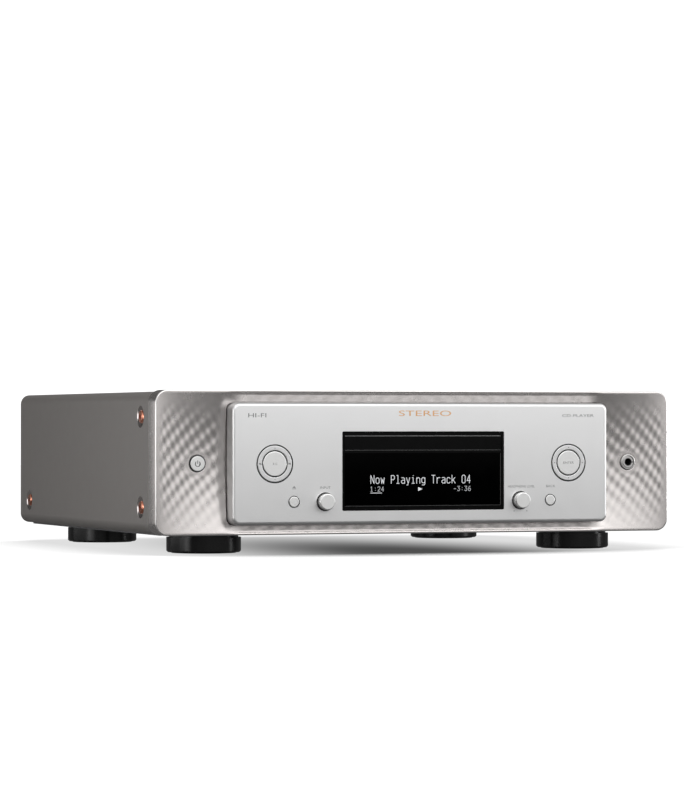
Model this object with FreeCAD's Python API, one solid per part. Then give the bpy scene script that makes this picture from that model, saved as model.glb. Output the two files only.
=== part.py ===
"""A full-width CD player: floating front panel on a sculpted baffle, disc loader, controls, electronics and feet.

Units are millimetres, X to the right, Y to the rear, Z up.
The shapes are drawn with Y = 0 at the front rim of the baffle and Z = 0 at the feet, and export_node moves them
so that the origin is under the middle of the bounding box.
"""
import FreeCAD
import Part
import math
import os

VECTOR = FreeCAD.Vector

# ---- overall sizes --------------------------------------------------------------------------------------------
TOTAL_DEPTH = 428.0           # knob faces to rear jack tips
KNOB_FACE_Y = -18.0
ORIGIN_Y = KNOB_FACE_Y + TOTAL_DEPTH / 2

BAFFLE_HALF_W = 221.0
BAFFLE_Z = (15.4, 130.0)
BAFFLE_CORNER_R = 10.0
BAFFLE_DEPTH = 20.0
BAFFLE_RIM = 2.4              # flat rim round the dished face
BAFFLE_DISH = 4.6             # depth of the dish beside the front panel

COVER_HALF_W = 220.5
COVER_Z = (16.3, 128.8)
COVER_Y = (20.0, 400.0)
REAR_Y = COVER_Y[1]
COVER_R = 8.0
COVER_WALL = 1.6
COVER_LIP_X = 204.0           # the lips under the chassis end here

PANEL_HALF_W = 161.2
PANEL_Z = (23.6, 120.0)
PANEL_Y = (-11.7, 3.0)
PANEL_FACE = 4.0
PANEL_WALL = 3.0
PANEL_CORNER_R = 6.0
PANEL_EDGE_R = 2.6
PANEL_GAP = 1.0

WINDOW_HALF_W = 69.7
WINDOW_Z = (34.2, 97.3)
WINDOW_Y = (-10.6, -6.6)
DOOR_HALF_W = 67.6
DOOR_Z = (82.0, 94.0)
DOOR_GAP = 0.3
LENS_Z = (37.5, 80.2)

# ---- controls -------------------------------------------------------------------------------------------------
RING_X = 126.4
RING_Z = 71.8
RING_HOLE_R = 15.1
RING_R = (10.7, 14.3)
CENTRE_BUTTON_R = 9.8
SMALL_BUTTON_X = 110.3
SMALL_BUTTON_Z = 41.7
SMALL_BUTTON_R = 4.2
SMALL_BUTTON_GAP = 0.6
KNOB_X = 84.0
KNOB_Z = 41.6
KNOB_R = 6.4
KNOB_FACE_R = 5.9
KNOB_GAP = 1.1
KNOB_NOSE = 1.2
SIDE_CONTROL_X = 186.0
SIDE_CONTROL_Z = 72.0
POWER_BUTTON_R = 6.0
POWER_BUTTON_GAP = 0.6
JACK_BORE_R = 3.2
JACK_RING_R = 6.3
BOARD_Y = (6.0, 7.6)
GIMBAL_Y = -4.0
STEM_R = 2.5

# ---- disc loader ----------------------------------------------------------------------------------------------
DISC_Y = 66.0                 # disc centre with the tray shut
TRAY_HALF_W = 65.0
TRAY_Y = (-6.5, 190.0)
TRAY_Z = (82.4, 91.8)
TRAY_HOLLOW_Z = 85.9
DISC_POCKET = (61.0, 87.4)    # radius, floor height
SMALL_POCKET = (41.0, 86.9)
SLOT_HALF_W = 23.0
SLOT_FRONT_Y = 46.0

PRESSURE_ANGLE = math.radians(25.0)
TRAY_MODULE = 1.0
TRAY_GEAR_TEETH = 20
TRAY_GEAR_AT = (-46.0, 38.0)
TRAY_RACK_X = TRAY_GEAR_AT[0] - TRAY_MODULE * TRAY_GEAR_TEETH / 2
PULLEY_R = 13.5
MOTOR_PULLEY_R = 4.0
MOTOR_AT = (8.0, 34.0)
PULLEY_Z = (76.0, 80.4)
BELT_T = 1.2

SLED_MODULE = 0.5
SLED_PINION_TEETH = 16
SLED_GEAR_TEETH = 40
SLED_MOTOR_TEETH = 12
SLED_GEAR_AT = (-27.0, 122.0)
SLED_RACK_X = SLED_GEAR_AT[0] + SLED_MODULE * SLED_PINION_TEETH / 2
SLED_MOTOR_Y = SLED_GEAR_AT[1] + SLED_MODULE * (SLED_GEAR_TEETH + SLED_MOTOR_TEETH) / 2

TRAVERSE_PIVOT = (160.0, 66.0)   # Y, Z of the pivot pins
TRAVERSE_TILT = 4.5              # degrees from playing height down to rest
TRAVERSE_Z = (68.0, 71.0)
TURNTABLE_R = 15.0
TURNTABLE_TOP = 90.9
SPINDLE_R = 1.0
ROD_R = 1.5
ROD_X = 16.0
ROD_Z = 76.4
ROD_END_POST = (154.0, 157.0)
LENS_Y = 90.0
CAM_TRAVEL = 20.0
CAM_Y = (44.5, 47.0)
CAM_PIN = (20.0, 69.5)           # X, Z at playing height
CAM_PIN_R = 1.5
PUCK_Z = (92.3, 95.4, 98.8, 100.8)

# ---- chassis --------------------------------------------------------------------------------------------------
PLATE_T = 1.2
FLOOR_Z = COVER_Z[0] + COVER_WALL
FLOOR_TOP = FLOOR_Z + PLATE_T
SUBCHASSIS_T = 1.6
REAR_PLATE_T = 1.8
FLANGE_X = 217.0
FLANGE_TOP = 61.0
CHASSIS_BEND_R = 10.0
BOTTOM_Z = 15.0
FOOT_R = 30.0
FOOT_X = 161.8
FOOT_Y = (59.8, 344.3)
FOOT_RECESS = 1.5
SIDE_SCREWS = ((41.5, 108.9), (41.5, 37.1), (371.0, 36.5))   # Y, Z
DIMPLE_R = 8.8
DIMPLE_DEPTH = 1.9
SIDE_SCREW_HEAD_R = 5.0
RUNNING = 0.05                   # radial clearance of a shaft in its bore


# ---- drawing helpers ------------------------------------------------------------------------------------------
def box(x, y, z):
    """A box between the pairs x, y and z."""
    size = [high - low for low, high in (x, y, z)]
    return Part.makeBox(*size, VECTOR(x[0], y[0], z[0]))


def disc(centre, r, span, axis="z"):
    """A cylinder round centre (the two other coordinates) over span along the axis."""
    length = span[1] - span[0]
    if axis == "z":
        return Part.makeCylinder(r, length, VECTOR(centre[0], centre[1], span[0]), VECTOR(0, 0, 1))
    if axis == "y":
        return Part.makeCylinder(r, length, VECTOR(centre[0], span[0], centre[1]), VECTOR(0, 1, 0))
    return Part.makeCylinder(r, length, VECTOR(span[0], centre[0], centre[1]), VECTOR(1, 0, 0))


def cone(centre, r, span, axis="y"):
    """A cone with radii r at the two ends of span."""
    length = span[1] - span[0]
    if axis == "z":
        return Part.makeCone(r[0], r[1], length, VECTOR(centre[0], centre[1], span[0]), VECTOR(0, 0, 1))
    if axis == "y":
        return Part.makeCone(r[0], r[1], length, VECTOR(centre[0], span[0], centre[1]), VECTOR(0, 1, 0))
    return Part.makeCone(r[0], r[1], length, VECTOR(span[0], centre[0], centre[1]), VECTOR(1, 0, 0))


def tube(centre, r, span, axis="z"):
    """A ring between the radii r."""
    return disc(centre, r[1], span, axis).cut(disc(centre, r[0], span, axis))


def fuse(shapes):
    """One shape from several, with the seams removed."""
    joined = shapes[0]
    if len(shapes) > 1:
        joined = joined.fuse(list(shapes[1:]))
    return joined.removeSplitter()


def cut(shape, tools):
    """The shape with every tool taken away."""
    return shape.cut(list(tools))


def slab(half_w, z, y, r):
    """A plate in the XZ plane with rounded corners, extruded along Y."""
    wire = rounded_wire(half_w, z, y[0], r)
    return Part.Face(wire).extrude(VECTOR(0, y[1] - y[0], 0))


def rounded_wire(half_w, z, y, r):
    """The outline of a rounded rectangle in the plane Y = y."""
    low, high = z
    arm = r * math.sqrt(0.5)
    edges = []
    for sx, sz in ((1, -1), (1, 1), (-1, 1), (-1, -1)):
        cx = sx * (half_w - r)
        cz = low + r if sz < 0 else high - r
        on_side = VECTOR(cx + sx * r, y, cz)
        on_flat = VECTOR(cx, y, cz + sz * r)
        middle = VECTOR(cx + sx * arm, y, cz + sz * arm)
        ends = (on_flat, on_side) if sx * sz < 0 else (on_side, on_flat)
        edges.append((ends[0], middle, ends[1]))
    parts = []
    for index, (start, middle, end) in enumerate(edges):
        parts.append(Part.Arc(start, middle, end).toShape())
        parts.append(Part.makeLine(end, edges[(index + 1) % 4][0]))
    return Part.Wire(parts)


def prism(points, z):
    """A closed outline of (x, y) points extruded over the pair z."""
    corners = [VECTOR(px, py, z[0]) for px, py in points]
    wire = Part.makePolygon(corners + corners[:1])
    return Part.Face(wire).extrude(VECTOR(0, 0, z[1] - z[0]))


def lowered(shape):
    """A traverse piece, drawn at playing height, tilted down to its rest position."""
    copy = shape.copy()
    copy.rotate(VECTOR(0, *TRAVERSE_PIVOT), VECTOR(1, 0, 0), TRAVERSE_TILT)
    return copy


def export_node(name, shapes):
    """Write the node's solids, moved to the row origin, as one STEP file."""
    solids = []
    for shape in shapes:
        solids.extend(shape.Solids)
    whole = Part.makeCompound(solids) if len(solids) > 1 else solids[0]
    whole.translate(VECTOR(0, -ORIGIN_Y, 0))
    whole.exportStep(os.path.join("parts", name + ".step"))


# ---- gear teeth -----------------------------------------------------------------------------------------------
ADDENDUM = 0.8
DEDENDUM = 1.15
BACKLASH = 0.12               # taken off each tooth, as a part of the module


def gear(teeth, module, centre, z, turn=0.0):
    """A spur gear with involute flanks; a tooth points along +X turned by the angle turn."""
    pitch_r = teeth * module / 2
    base_r = pitch_r * math.cos(PRESSURE_ANGLE)
    root_r = pitch_r - DEDENDUM * module
    tip_r = pitch_r + ADDENDUM * module
    half_at_pitch = math.pi / (2 * teeth) - BACKLASH * module / pitch_r
    involute_at_pitch = math.tan(PRESSURE_ANGLE) - PRESSURE_ANGLE
    steps = 4
    start_r = max(base_r, root_r)
    flank = []
    for step in range(steps + 1):
        r = start_r + (tip_r - start_r) * step / steps
        angle = math.acos(min(1.0, base_r / r))
        half = half_at_pitch + involute_at_pitch - (math.tan(angle) - angle)
        flank.append((r, half))
    if root_r < base_r:
        flank.insert(0, (root_r, flank[0][1]))
    points = []
    for tooth in range(teeth):
        middle = turn + 2 * math.pi * tooth / teeth
        for r, half in flank:
            points.append((r, middle - half))
        for r, half in reversed(flank):
            points.append((r, middle + half))
    outline = [(centre[0] + r * math.cos(a), centre[1] + r * math.sin(a)) for r, a in points]
    return prism(outline, z)


def rack(module, pitch_x, side, y, phase_y, back_x, z):
    """A rack along Y with its teeth facing side (+1 or -1) and a gap centred on phase_y."""
    pitch = math.pi * module
    lean = math.tan(PRESSURE_ANGLE)
    half_pitch_line = pitch / 4 - BACKLASH * module
    tip_half = half_pitch_line - ADDENDUM * module * lean
    root_half = half_pitch_line + DEDENDUM * module * lean
    tip_x = pitch_x + side * ADDENDUM * module
    root_x = pitch_x - side * DEDENDUM * module
    points = [(back_x, y[0]), (root_x, y[0])]
    tooth_y = phase_y - pitch * (math.floor((phase_y - y[0]) / pitch) - 0.5)
    while tooth_y + root_half < y[1]:
        if tooth_y - root_half > y[0]:
            points.append((root_x, tooth_y - root_half))
            points.append((tip_x, tooth_y - tip_half))
            points.append((tip_x, tooth_y + tip_half))
            points.append((root_x, tooth_y + root_half))
        tooth_y += pitch
    points += [(root_x, y[1]), (back_x, y[1])]
    return prism(points, z)


# ---- casing ---------------------------------------------------------------------------------------------------
def baffle_opening():
    """The stepped pocket that the floating panel stands in, and the opening behind it."""
    pocket_z = (PANEL_Z[0] - PANEL_GAP, PANEL_Z[1] + PANEL_GAP)
    pocket = slab(PANEL_HALF_W + PANEL_GAP, pocket_z, (-1, 5.5), PANEL_CORNER_R)
    through = slab(PANEL_HALF_W - 2.7, (PANEL_Z[0] + 2.7, PANEL_Z[1] - 2.7), (0, BAFFLE_DEPTH + 1), 4.0)
    return [pocket, through]


def front_baffle():
    outer = slab(BAFFLE_HALF_W, BAFFLE_Z, (0, BAFFLE_DEPTH), BAFFLE_CORNER_R)
    rim_z = (BAFFLE_Z[0] + BAFFLE_RIM, BAFFLE_Z[1] - BAFFLE_RIM)
    rim = rounded_wire(BAFFLE_HALF_W - BAFFLE_RIM, rim_z, -0.01, BAFFLE_CORNER_R - BAFFLE_RIM)
    floor_z = (PANEL_Z[0] + 1, PANEL_Z[1] - 1)
    floor = rounded_wire(PANEL_HALF_W - 1, floor_z, BAFFLE_DISH, PANEL_CORNER_R)
    dish = Part.makeLoft([rim, floor], True)
    hollow = slab(FLANGE_X + 0.5, (BAFFLE_Z[0] + 3.6, BAFFLE_Z[1] - 3.6), (8.0, BAFFLE_DEPTH + 1), 6.0)
    power_hole = disc((-SIDE_CONTROL_X, SIDE_CONTROL_Z), POWER_BUTTON_R + POWER_BUTTON_GAP, (-1, 9), "y")
    jack_hole = disc((SIDE_CONTROL_X, SIDE_CONTROL_Z), JACK_RING_R + 0.2, (-1, 9), "y")
    return [cut(outer, [dish, hollow, power_hole, jack_hole] + baffle_opening())]


def front_panel():
    outer = slab(PANEL_HALF_W, PANEL_Z, PANEL_Y, PANEL_CORNER_R)
    face_edges = [edge for edge in outer.Edges if abs(edge.BoundBox.YMax - PANEL_Y[0]) < 0.01]
    outer = outer.makeFillet(PANEL_EDGE_R, face_edges)
    hollow_z = (PANEL_Z[0] + PANEL_WALL, PANEL_Z[1] - PANEL_WALL)
    hollow = slab(PANEL_HALF_W - PANEL_WALL, hollow_z, (PANEL_Y[0] + PANEL_FACE, PANEL_Y[1] + 1), 3.0)
    through = (PANEL_Y[0] - 1, PANEL_Y[1])
    holes = [slab(WINDOW_HALF_W, WINDOW_Z, through, 1.2)]
    for side in (-1, 1):
        holes.append(disc((side * RING_X, RING_Z), RING_HOLE_R, through, "y"))
        small_at = (side * SMALL_BUTTON_X, SMALL_BUTTON_Z)
        holes.append(disc(small_at, SMALL_BUTTON_R + SMALL_BUTTON_GAP, through, "y"))
        holes.append(disc((side * KNOB_X, KNOB_Z), KNOB_R + KNOB_GAP, through, "y"))
    return [cut(outer, [hollow] + holes)]


def panel_carrier():
    """The moulded frame that holds the floating panel off the front chassis."""
    gap = PANEL_WALL + 0.2
    outer = slab(PANEL_HALF_W - gap, (PANEL_Z[0] + gap, PANEL_Z[1] - gap), (-7.7, BAFFLE_DEPTH), 2.8)
    inner = slab(149.0, (33.5, 110.5), (-9, BAFFLE_DEPTH + 1), 3.0)
    rebate = slab(154.0, (30.0, 113.6), (BOARD_Y[0], BAFFLE_DEPTH + 1), 3.0)
    return [cut(outer, [inner, rebate])]


def soft_front(shape, r):
    """The shape with its foremost edges, which all lie in one plane, rounded."""
    face_y = shape.BoundBox.YMin
    edges = [edge for edge in shape.Edges if abs(edge.BoundBox.YMax - face_y) < 0.01]
    return shape.makeFillet(r, edges)


def window_bezel():
    outer = soft_front(slab(WINDOW_HALF_W, WINDOW_Z, WINDOW_Y, 1.2), 0.3)
    door_z = (DOOR_Z[0] - DOOR_GAP, DOOR_Z[1] + DOOR_GAP)
    door = slab(DOOR_HALF_W + DOOR_GAP, door_z, (-12, -5), 0.6)
    lens = slab(DOOR_HALF_W, LENS_Z, (-12, -5), 0.4)
    return [cut(outer, [door, lens])]


def display_lens():
    return [soft_front(slab(DOOR_HALF_W, LENS_Z, (WINDOW_Y[0] + 0.2, WINDOW_Y[0] + 2.2), 0.4), 0.2)]


def display_module():
    glass = box((-58, 58), (-8.2, -5.6), (42, 76))
    frame = cut(box((-64, 64), (-5.6, -3.9), (38.5, 79)), [box((-50, 50), (-4.6, -3), (48, 70))])
    board = box((-66, 66), (-3.9, -2.3), (38, 79.2))
    return [glass, frame, board]


def top_cover():
    outer = slab(COVER_HALF_W, COVER_Z, COVER_Y, COVER_R)
    inner_z = (COVER_Z[0] + COVER_WALL, COVER_Z[1] - COVER_WALL)
    inner = slab(COVER_HALF_W - COVER_WALL, inner_z, (COVER_Y[0] - 1, COVER_Y[1] + 1), COVER_R - COVER_WALL)
    below = box((-COVER_LIP_X, COVER_LIP_X), (COVER_Y[0] - 1, COVER_Y[1] + 1), (0, COVER_Z[0] + 3))
    shell = cut(outer, [inner, below])
    bosses = []
    dimples = []
    for y, z in SIDE_SCREWS:
        for side in (-1, 1):
            face = side * COVER_HALF_W
            inside = side * FLANGE_X
            floor = face - side * DIMPLE_DEPTH
            bosses.append(disc((y, z), DIMPLE_R + 1.2, sorted((inside, face - side * 0.5)), "x"))
            beyond = face + side * 0.2
            radii = (DIMPLE_R + 0.2, SIDE_SCREW_HEAD_R + 1.0)
            span = sorted((floor, beyond))
            dimples.append(cone((y, z), radii[::-1] if side > 0 else radii, span, "x"))
            dimples.append(disc((y, z), 2.2, sorted((inside - side, face)), "x"))
    return [cut(fuse([shell] + bosses), dimples)]


def side_screws():
    """Six dome-head screws with a hexagon socket, in the dimples of the cover."""
    screws = []
    for y, z in SIDE_SCREWS:
        for side in (-1, 1):
            floor = side * (COVER_HALF_W - DIMPLE_DEPTH)
            head = disc((y, z), SIDE_SCREW_HEAD_R, sorted((floor, floor + side * 2.3)), "x")
            rim = [edge for edge in head.Edges if abs(edge.BoundBox.XMin - (floor + side * 2.3)) < 0.01]
            head = head.makeFillet(0.9, rim)
            shank = disc((y, z), 2.0, sorted((floor - side * 9, floor)), "x")
            corners = [(math.cos(math.radians(60 * k)), math.sin(math.radians(60 * k))) for k in range(7)]
            outer = floor + side * 3
            wire = Part.makePolygon([VECTOR(outer, y + 1.8 * a, z + 1.8 * b) for a, b in corners])
            socket = Part.Face(wire).extrude(VECTOR(-side * 2.2, 0, 0))
            screws.append(cut(fuse([head, shank]), [socket]))
    return screws


def screw_holes_x(x):
    """Clearance holes through a side wall at the side screws."""
    return [disc((y, z), 2.05, x, "x") for y, z in SIDE_SCREWS]


def chassis_base():
    """The inner tray of the chassis, copper plated, with its sides bent up."""
    y = (BAFFLE_DEPTH + 2.0, REAR_Y - REAR_PLATE_T)
    outer = slab(FLANGE_X, (FLOOR_Z, FLANGE_TOP + CHASSIS_BEND_R), y, CHASSIS_BEND_R)
    inner_z = (FLOOR_TOP, FLANGE_TOP + CHASSIS_BEND_R + 1)
    inner = slab(FLANGE_X - PLATE_T, inner_z, (y[0] - 1, y[1] + 1), CHASSIS_BEND_R - PLATE_T)
    above = box((-FLANGE_X - 1, FLANGE_X + 1), (y[0] - 1, y[1] + 1), (FLANGE_TOP, FLANGE_TOP + 20))
    tray = cut(outer, [inner, above])
    vents = []
    for column in range(9):
        y = 215.0 + 12.0 * column
        vents.append(box((-60, -20), (y, y + 4), (FLOOR_Z - 1, FLOOR_TOP + 1)))
        vents.append(box((20, 60), (y, y + 4), (FLOOR_Z - 1, FLOOR_TOP + 1)))
    vents += foot_screw_holes()
    return [cut(tray, vents + screw_holes_x((-FLANGE_X - 1, FLANGE_X + 1)))]


def foot_screw_holes():
    return [disc((x, y), 2.1, (0, FLOOR_TOP + 1)) for x in (-FOOT_X, FOOT_X) for y in FOOT_Y]


def bottom_plate():
    """The outer double-layer base plate, with the vent slots and the foot screw holes."""
    low = box((-210, 210), (24, 396), (BOTTOM_Z, COVER_Z[0]))
    high = box((-203.5, 203.5), (24, 396), (COVER_Z[0], FLOOR_Z))
    plate = fuse([low, high])
    tools = foot_screw_holes()
    for column in range(9):
        y = 215.0 + 12.0 * column
        tools.append(box((-60, -20), (y, y + 4), (0, 20)))
        tools.append(box((20, 60), (y, y + 4), (0, 20)))
    return [cut(plate, tools)]


def front_subchassis():
    """The steel plate behind the baffle, bent back at both sides."""
    plate = slab(FLANGE_X + 1.3, (FLOOR_Z, 127.0), (BAFFLE_DEPTH, BAFFLE_DEPTH + SUBCHASSIS_T), 6.0)
    ears = []
    for side in (-1, 1):
        x = sorted((side * FLANGE_X, side * (FLANGE_X - PLATE_T)))
        ears.append(box(x, (BAFFLE_DEPTH + SUBCHASSIS_T, 54.0), (FLANGE_TOP + 1, 119.0)))
    window = slab(72.5, (30.0, 97.0), (19, 23), 3.0)
    jack = box((SIDE_CONTROL_X - 10, SIDE_CONTROL_X + 10), (19, 23), (62, 82))
    slots = [box(sorted((side * 100, side * 140)), (19, 23), (50, 58)) for side in (-1, 1)]
    holes = screw_holes_x((-FLANGE_X - 1, FLANGE_X + 1))
    return [cut(fuse([plate] + ears), [window, jack] + slots + holes)]


def feet():
    """Four turned feet with a groove under the base plate and a recess for the pad."""
    shapes = []
    for x in (-FOOT_X, FOOT_X):
        for y in FOOT_Y:
            body = disc((x, y), FOOT_R, (0.6, 12.6))
            edges = [edge for edge in body.Edges if abs(edge.BoundBox.ZMax - 0.6) < 0.01]
            body = body.makeChamfer(1.2, edges)
            neck = disc((x, y), FOOT_R - 2.2, (12.6, BOTTOM_Z))
            recess = disc((x, y), FOOT_R - 4.0, (0, 0.6 + FOOT_RECESS))
            well = disc((x, y), 5.0, (0, 9.0))
            hole = disc((x, y), 2.1, (0, 20))
            shapes.append(cut(fuse([body, neck]), [recess, well, hole]))
    return shapes


def foot_pads():
    return [tube((x, y), (6.0, FOOT_R - 4.1), (0, 0.6 + FOOT_RECESS)) for x in (-FOOT_X, FOOT_X) for y in FOOT_Y]


REAR_SCREWS = [(x, z) for x in (-208, -70, 70, 208) for z in (26, 119)]
REAR_SCREWS += [(135.0, 92.0), (-5.0, 92.0)]


def case_screws():
    """The foot screws and the rear panel screws, all the same pan-head pattern."""
    screws = []
    for x in (-FOOT_X, FOOT_X):
        for y in FOOT_Y:
            head = disc((x, y), 4.0, (6.6, 9.0))
            shank = disc((x, y), 2.0, (9.0, FLOOR_TOP))
            slot = box((x - 2.4, x + 2.4), (y - 0.5, y + 0.5), (6, 7.8))
            screws.append(cut(fuse([head, shank]), [slot]))
    for x, z in REAR_SCREWS:
        head = disc((x, z), 2.8, (COVER_Y[1], COVER_Y[1] + 1.8), "y")
        shank = disc((x, z), 1.4, (COVER_Y[1] - 8, COVER_Y[1]), "y")
        cross = [box((x - 1.8, x + 1.8), (COVER_Y[1] + 0.8, 403), (z - 0.4, z + 0.4))]
        cross.append(box((x - 0.4, x + 0.4), (COVER_Y[1] + 0.8, 403), (z - 1.8, z + 1.8)))
        screws.append(cut(fuse([head, shank]), cross))
    return screws


# ---- rear connectors ------------------------------------------------------------------------------------------
ANALOG_JACKS = [(x, z) for x in (112.0, 140.0) for z in (46.0, 72.0)]
COAX_JACKS = [(46.0, 46.0), (46.0, 72.0)]
REMOTE_JACKS = [(-78.0, 46.0), (-78.0, 68.0)]
OPTICAL_PORTS = [(20.0, 46.0), (20.0, 72.0)]
LAN_AT = (-12.0, 50.0)
USB_AT = (-44.0, 48.0)
ANTENNA_AT = [(-60.0, 106.0), (60.0, 106.0)]
INLET_AT = (-172.0, 52.0)
JACK_TIP = KNOB_FACE_Y + TOTAL_DEPTH
PHONO_R = 4.15


def centred(at, w, h, y):
    """A box w wide and h high round the point at of the rear panel."""
    return box((at[0] - w / 2, at[0] + w / 2), y, (at[1] - h / 2, at[1] + h / 2))


def rear_panel():
    y = (REAR_Y - REAR_PLATE_T, REAR_Y)
    plate = slab(COVER_HALF_W - COVER_WALL - 0.1, (FLOOR_Z + 0.1, COVER_Z[1] - COVER_WALL - 0.1), y, 6.2)
    cutter = (REAR_Y - 4, REAR_Y + 1)
    tools = [disc(at, 5.0, cutter, "y") for at in ANALOG_JACKS + COAX_JACKS + REMOTE_JACKS]
    tools += [disc(at, 3.3, cutter, "y") for at in ANTENNA_AT]
    tools += [disc(at, 1.5, cutter, "y") for at in REAR_SCREWS]
    tools += [centred(at, 10.2, 9.4, cutter) for at in OPTICAL_PORTS]
    tools.append(centred(LAN_AT, 16.2, 13.8, cutter))
    tools.append(centred(USB_AT, 14.6, 7.2, cutter))
    tools.append(centred(INLET_AT, 27.4, 20.0, cutter))
    return [cut(plate, tools)]


def phono_jacks():
    """Eight phono sockets: outer contact, centre contact hole and the moulded base behind the panel."""
    shapes = []
    for x, z in ANALOG_JACKS + COAX_JACKS + REMOTE_JACKS:
        barrel = disc((x, z), PHONO_R, (REAR_Y - 2, JACK_TIP), "y")
        collar = disc((x, z), 4.9, (REAR_Y - 2, REAR_Y + 1.4), "y")
        base = box((x - 6, x + 6), (REAR_Y - 14, REAR_Y - 2), (z - 7, z + 6))
        bore = disc((x, z), 1.6, (REAR_Y - 1, JACK_TIP + 1), "y")
        mouth = cone((x, z), (1.6, 2.4), (JACK_TIP - 0.8, JACK_TIP + 0.01), "y")
        shapes.append(cut(fuse([barrel, collar, base]), [bore, mouth]))
    return shapes


def rear_ports():
    """Optical sockets with dust plugs, network and USB sockets and two aerial sockets."""
    shapes = []
    for x, z in OPTICAL_PORTS:
        shell = centred((x, z), 10.0, 9.2, (REAR_Y - 14, REAR_Y + 0.6))
        plug = centred((x, z), 6.4, 6.0, (REAR_Y + 0.6, REAR_Y + 4.6))
        shapes.append(fuse([shell, plug]))
    lan = centred(LAN_AT, 16.0, 13.6, (REAR_Y - 17, REAR_Y + 0.8))
    cavity = centred((LAN_AT[0], LAN_AT[1] - 0.6), 12.0, 8.0, (REAR_Y - 13, REAR_Y + 2))
    latch = box((LAN_AT[0] - 3, LAN_AT[0] + 3), (REAR_Y - 13, REAR_Y + 2), (LAN_AT[1] + 3.4, LAN_AT[1] + 5.4))
    shapes.append(cut(lan, [cavity, latch]))
    usb = centred(USB_AT, 14.4, 7.0, (REAR_Y - 14, REAR_Y + 0.8))
    mouth = centred(USB_AT, 12.6, 5.2, (REAR_Y - 11, REAR_Y + 2))
    tongue = box((USB_AT[0] - 5.6, USB_AT[0] + 5.6), (REAR_Y - 11, REAR_Y - 1), (USB_AT[1] + 0.4, USB_AT[1] + 1.9))
    shapes.append(fuse([cut(usb, [mouth]), tongue]))
    for at in ANTENNA_AT:
        body = disc(at, 3.2, (REAR_Y - 10, REAR_Y + 8.6), "y")
        nut = disc(at, 4.6, (REAR_Y, REAR_Y + 1.8), "y")
        shapes.append(cut(fuse([body, nut]), [disc(at, 1.0, (REAR_Y + 3, REAR_Y + 9), "y")]))
    return shapes


def ac_inlet():
    """The mains inlet: a moulded cup with two blades."""
    x, z = INLET_AT
    flange = centred(INLET_AT, 31.0, 24.0, (REAR_Y, REAR_Y + 1.6))
    cup = centred(INLET_AT, 27.2, 19.8, (REAR_Y - 19, REAR_Y))
    cavity = centred(INLET_AT, 24.0, 16.6, (REAR_Y - 15, REAR_Y + 3))
    shell = cut(fuse([flange, cup]), [cavity])
    blades = [box((x + dx - 1.0, x + dx + 1.0), (REAR_Y - 15, REAR_Y - 1), (z - 2.5, z + 2.5)) for dx in (-7, 7)]
    tabs = [box((x + dx - 2, x + dx + 2), (REAR_Y - 25, REAR_Y - 19), (z - 1, z + 1)) for dx in (-7, 7)]
    return [fuse([shell] + blades + tabs)]


# ---- front controls -------------------------------------------------------------------------------------------
def push_button(centre, r, y, stem_end, flange_r):
    """A cap with a softened edge, a retaining flange behind the panel and a stem to its switch."""
    cap = disc(centre, r, (y[0], y[1]), "y")
    edge = [item for item in cap.Edges if abs(item.BoundBox.YMax - y[0]) < 0.01]
    cap = cap.makeFillet(0.5, edge)
    flange = disc(centre, flange_r, (y[1], y[1] + 1.2), "y")
    stem = disc(centre, STEM_R, (y[1] + 1.2, stem_end), "y")
    return [fuse([cap, flange, stem])]


SWITCH_Y = BOARD_Y[0] - 3.5
STEM_END = SWITCH_Y - 1.6


def centre_button(side):
    return push_button((side * RING_X, RING_Z), CENTRE_BUTTON_R, (-12.1, -8.4), STEM_END, CENTRE_BUTTON_R)


def small_button(side):
    at = (side * SMALL_BUTTON_X, SMALL_BUTTON_Z)
    return push_button(at, SMALL_BUTTON_R, (-12.1, -6.0), STEM_END, SMALL_BUTTON_R + 1.5)


def power_button():
    return push_button((-SIDE_CONTROL_X, SIDE_CONTROL_Z), POWER_BUTTON_R, (1.1, 9.0), 11.0, POWER_BUTTON_R + 1.6)


def rocker_ring(side):
    """The four-way ring round a centre button, with a skirt and its two pivot pins along X."""
    at = (side * RING_X, RING_Z)
    face = tube(at, RING_R, (-12.0, -9.2), "y")
    edges = [item for item in face.Edges if abs(item.BoundBox.YMax + 12.0) < 0.01]
    face = face.makeFillet(0.4, edges)
    skirt = tube(at, (11.6, 13.6), (-9.2, -2.4), "y")
    pins = []
    for hand in (-1, 1):
        span = sorted((at[0] + hand * 9.2, at[0] + hand * 12.0))
        pins.append(disc((GIMBAL_Y, at[1]), 0.8, span, "x"))
    return [fuse([face, skirt] + pins)]


def gimbal(side):
    """The middle ring that lets the rocker ring tilt on two axes."""
    at = (side * RING_X, RING_Z)
    body = tube(at, (7.4, 11.1), (-5.4, -1.6), "y")
    bores = [disc((GIMBAL_Y, at[1]), 0.8 + RUNNING, (at[0] - 13, at[0] + 13), "x")]
    pins = []
    for hand in (-1, 1):
        span = sorted((at[1] + hand * 5.0, at[1] + hand * 8.0))
        pins.append(disc((at[0], GIMBAL_Y), 0.8, span))
    return [fuse([cut(body, bores)] + pins)]


def knob(side):
    """A turned knob with a tapered nose and a splined stem that runs in its control."""
    at = (side * KNOB_X, KNOB_Z)
    nose = cone(at, (KNOB_FACE_R, KNOB_R), (KNOB_FACE_Y, KNOB_FACE_Y + KNOB_NOSE), "y")
    edge = [item for item in nose.Edges if abs(item.BoundBox.YMax - KNOB_FACE_Y) < 0.01]
    nose = nose.makeFillet(0.4, edge)
    body = disc(at, KNOB_R, (KNOB_FACE_Y + KNOB_NOSE, -8.6), "y")
    stem = disc(at, 3.0, (-8.6, 2.0), "y")
    return [fuse([nose, body, stem])]


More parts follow.
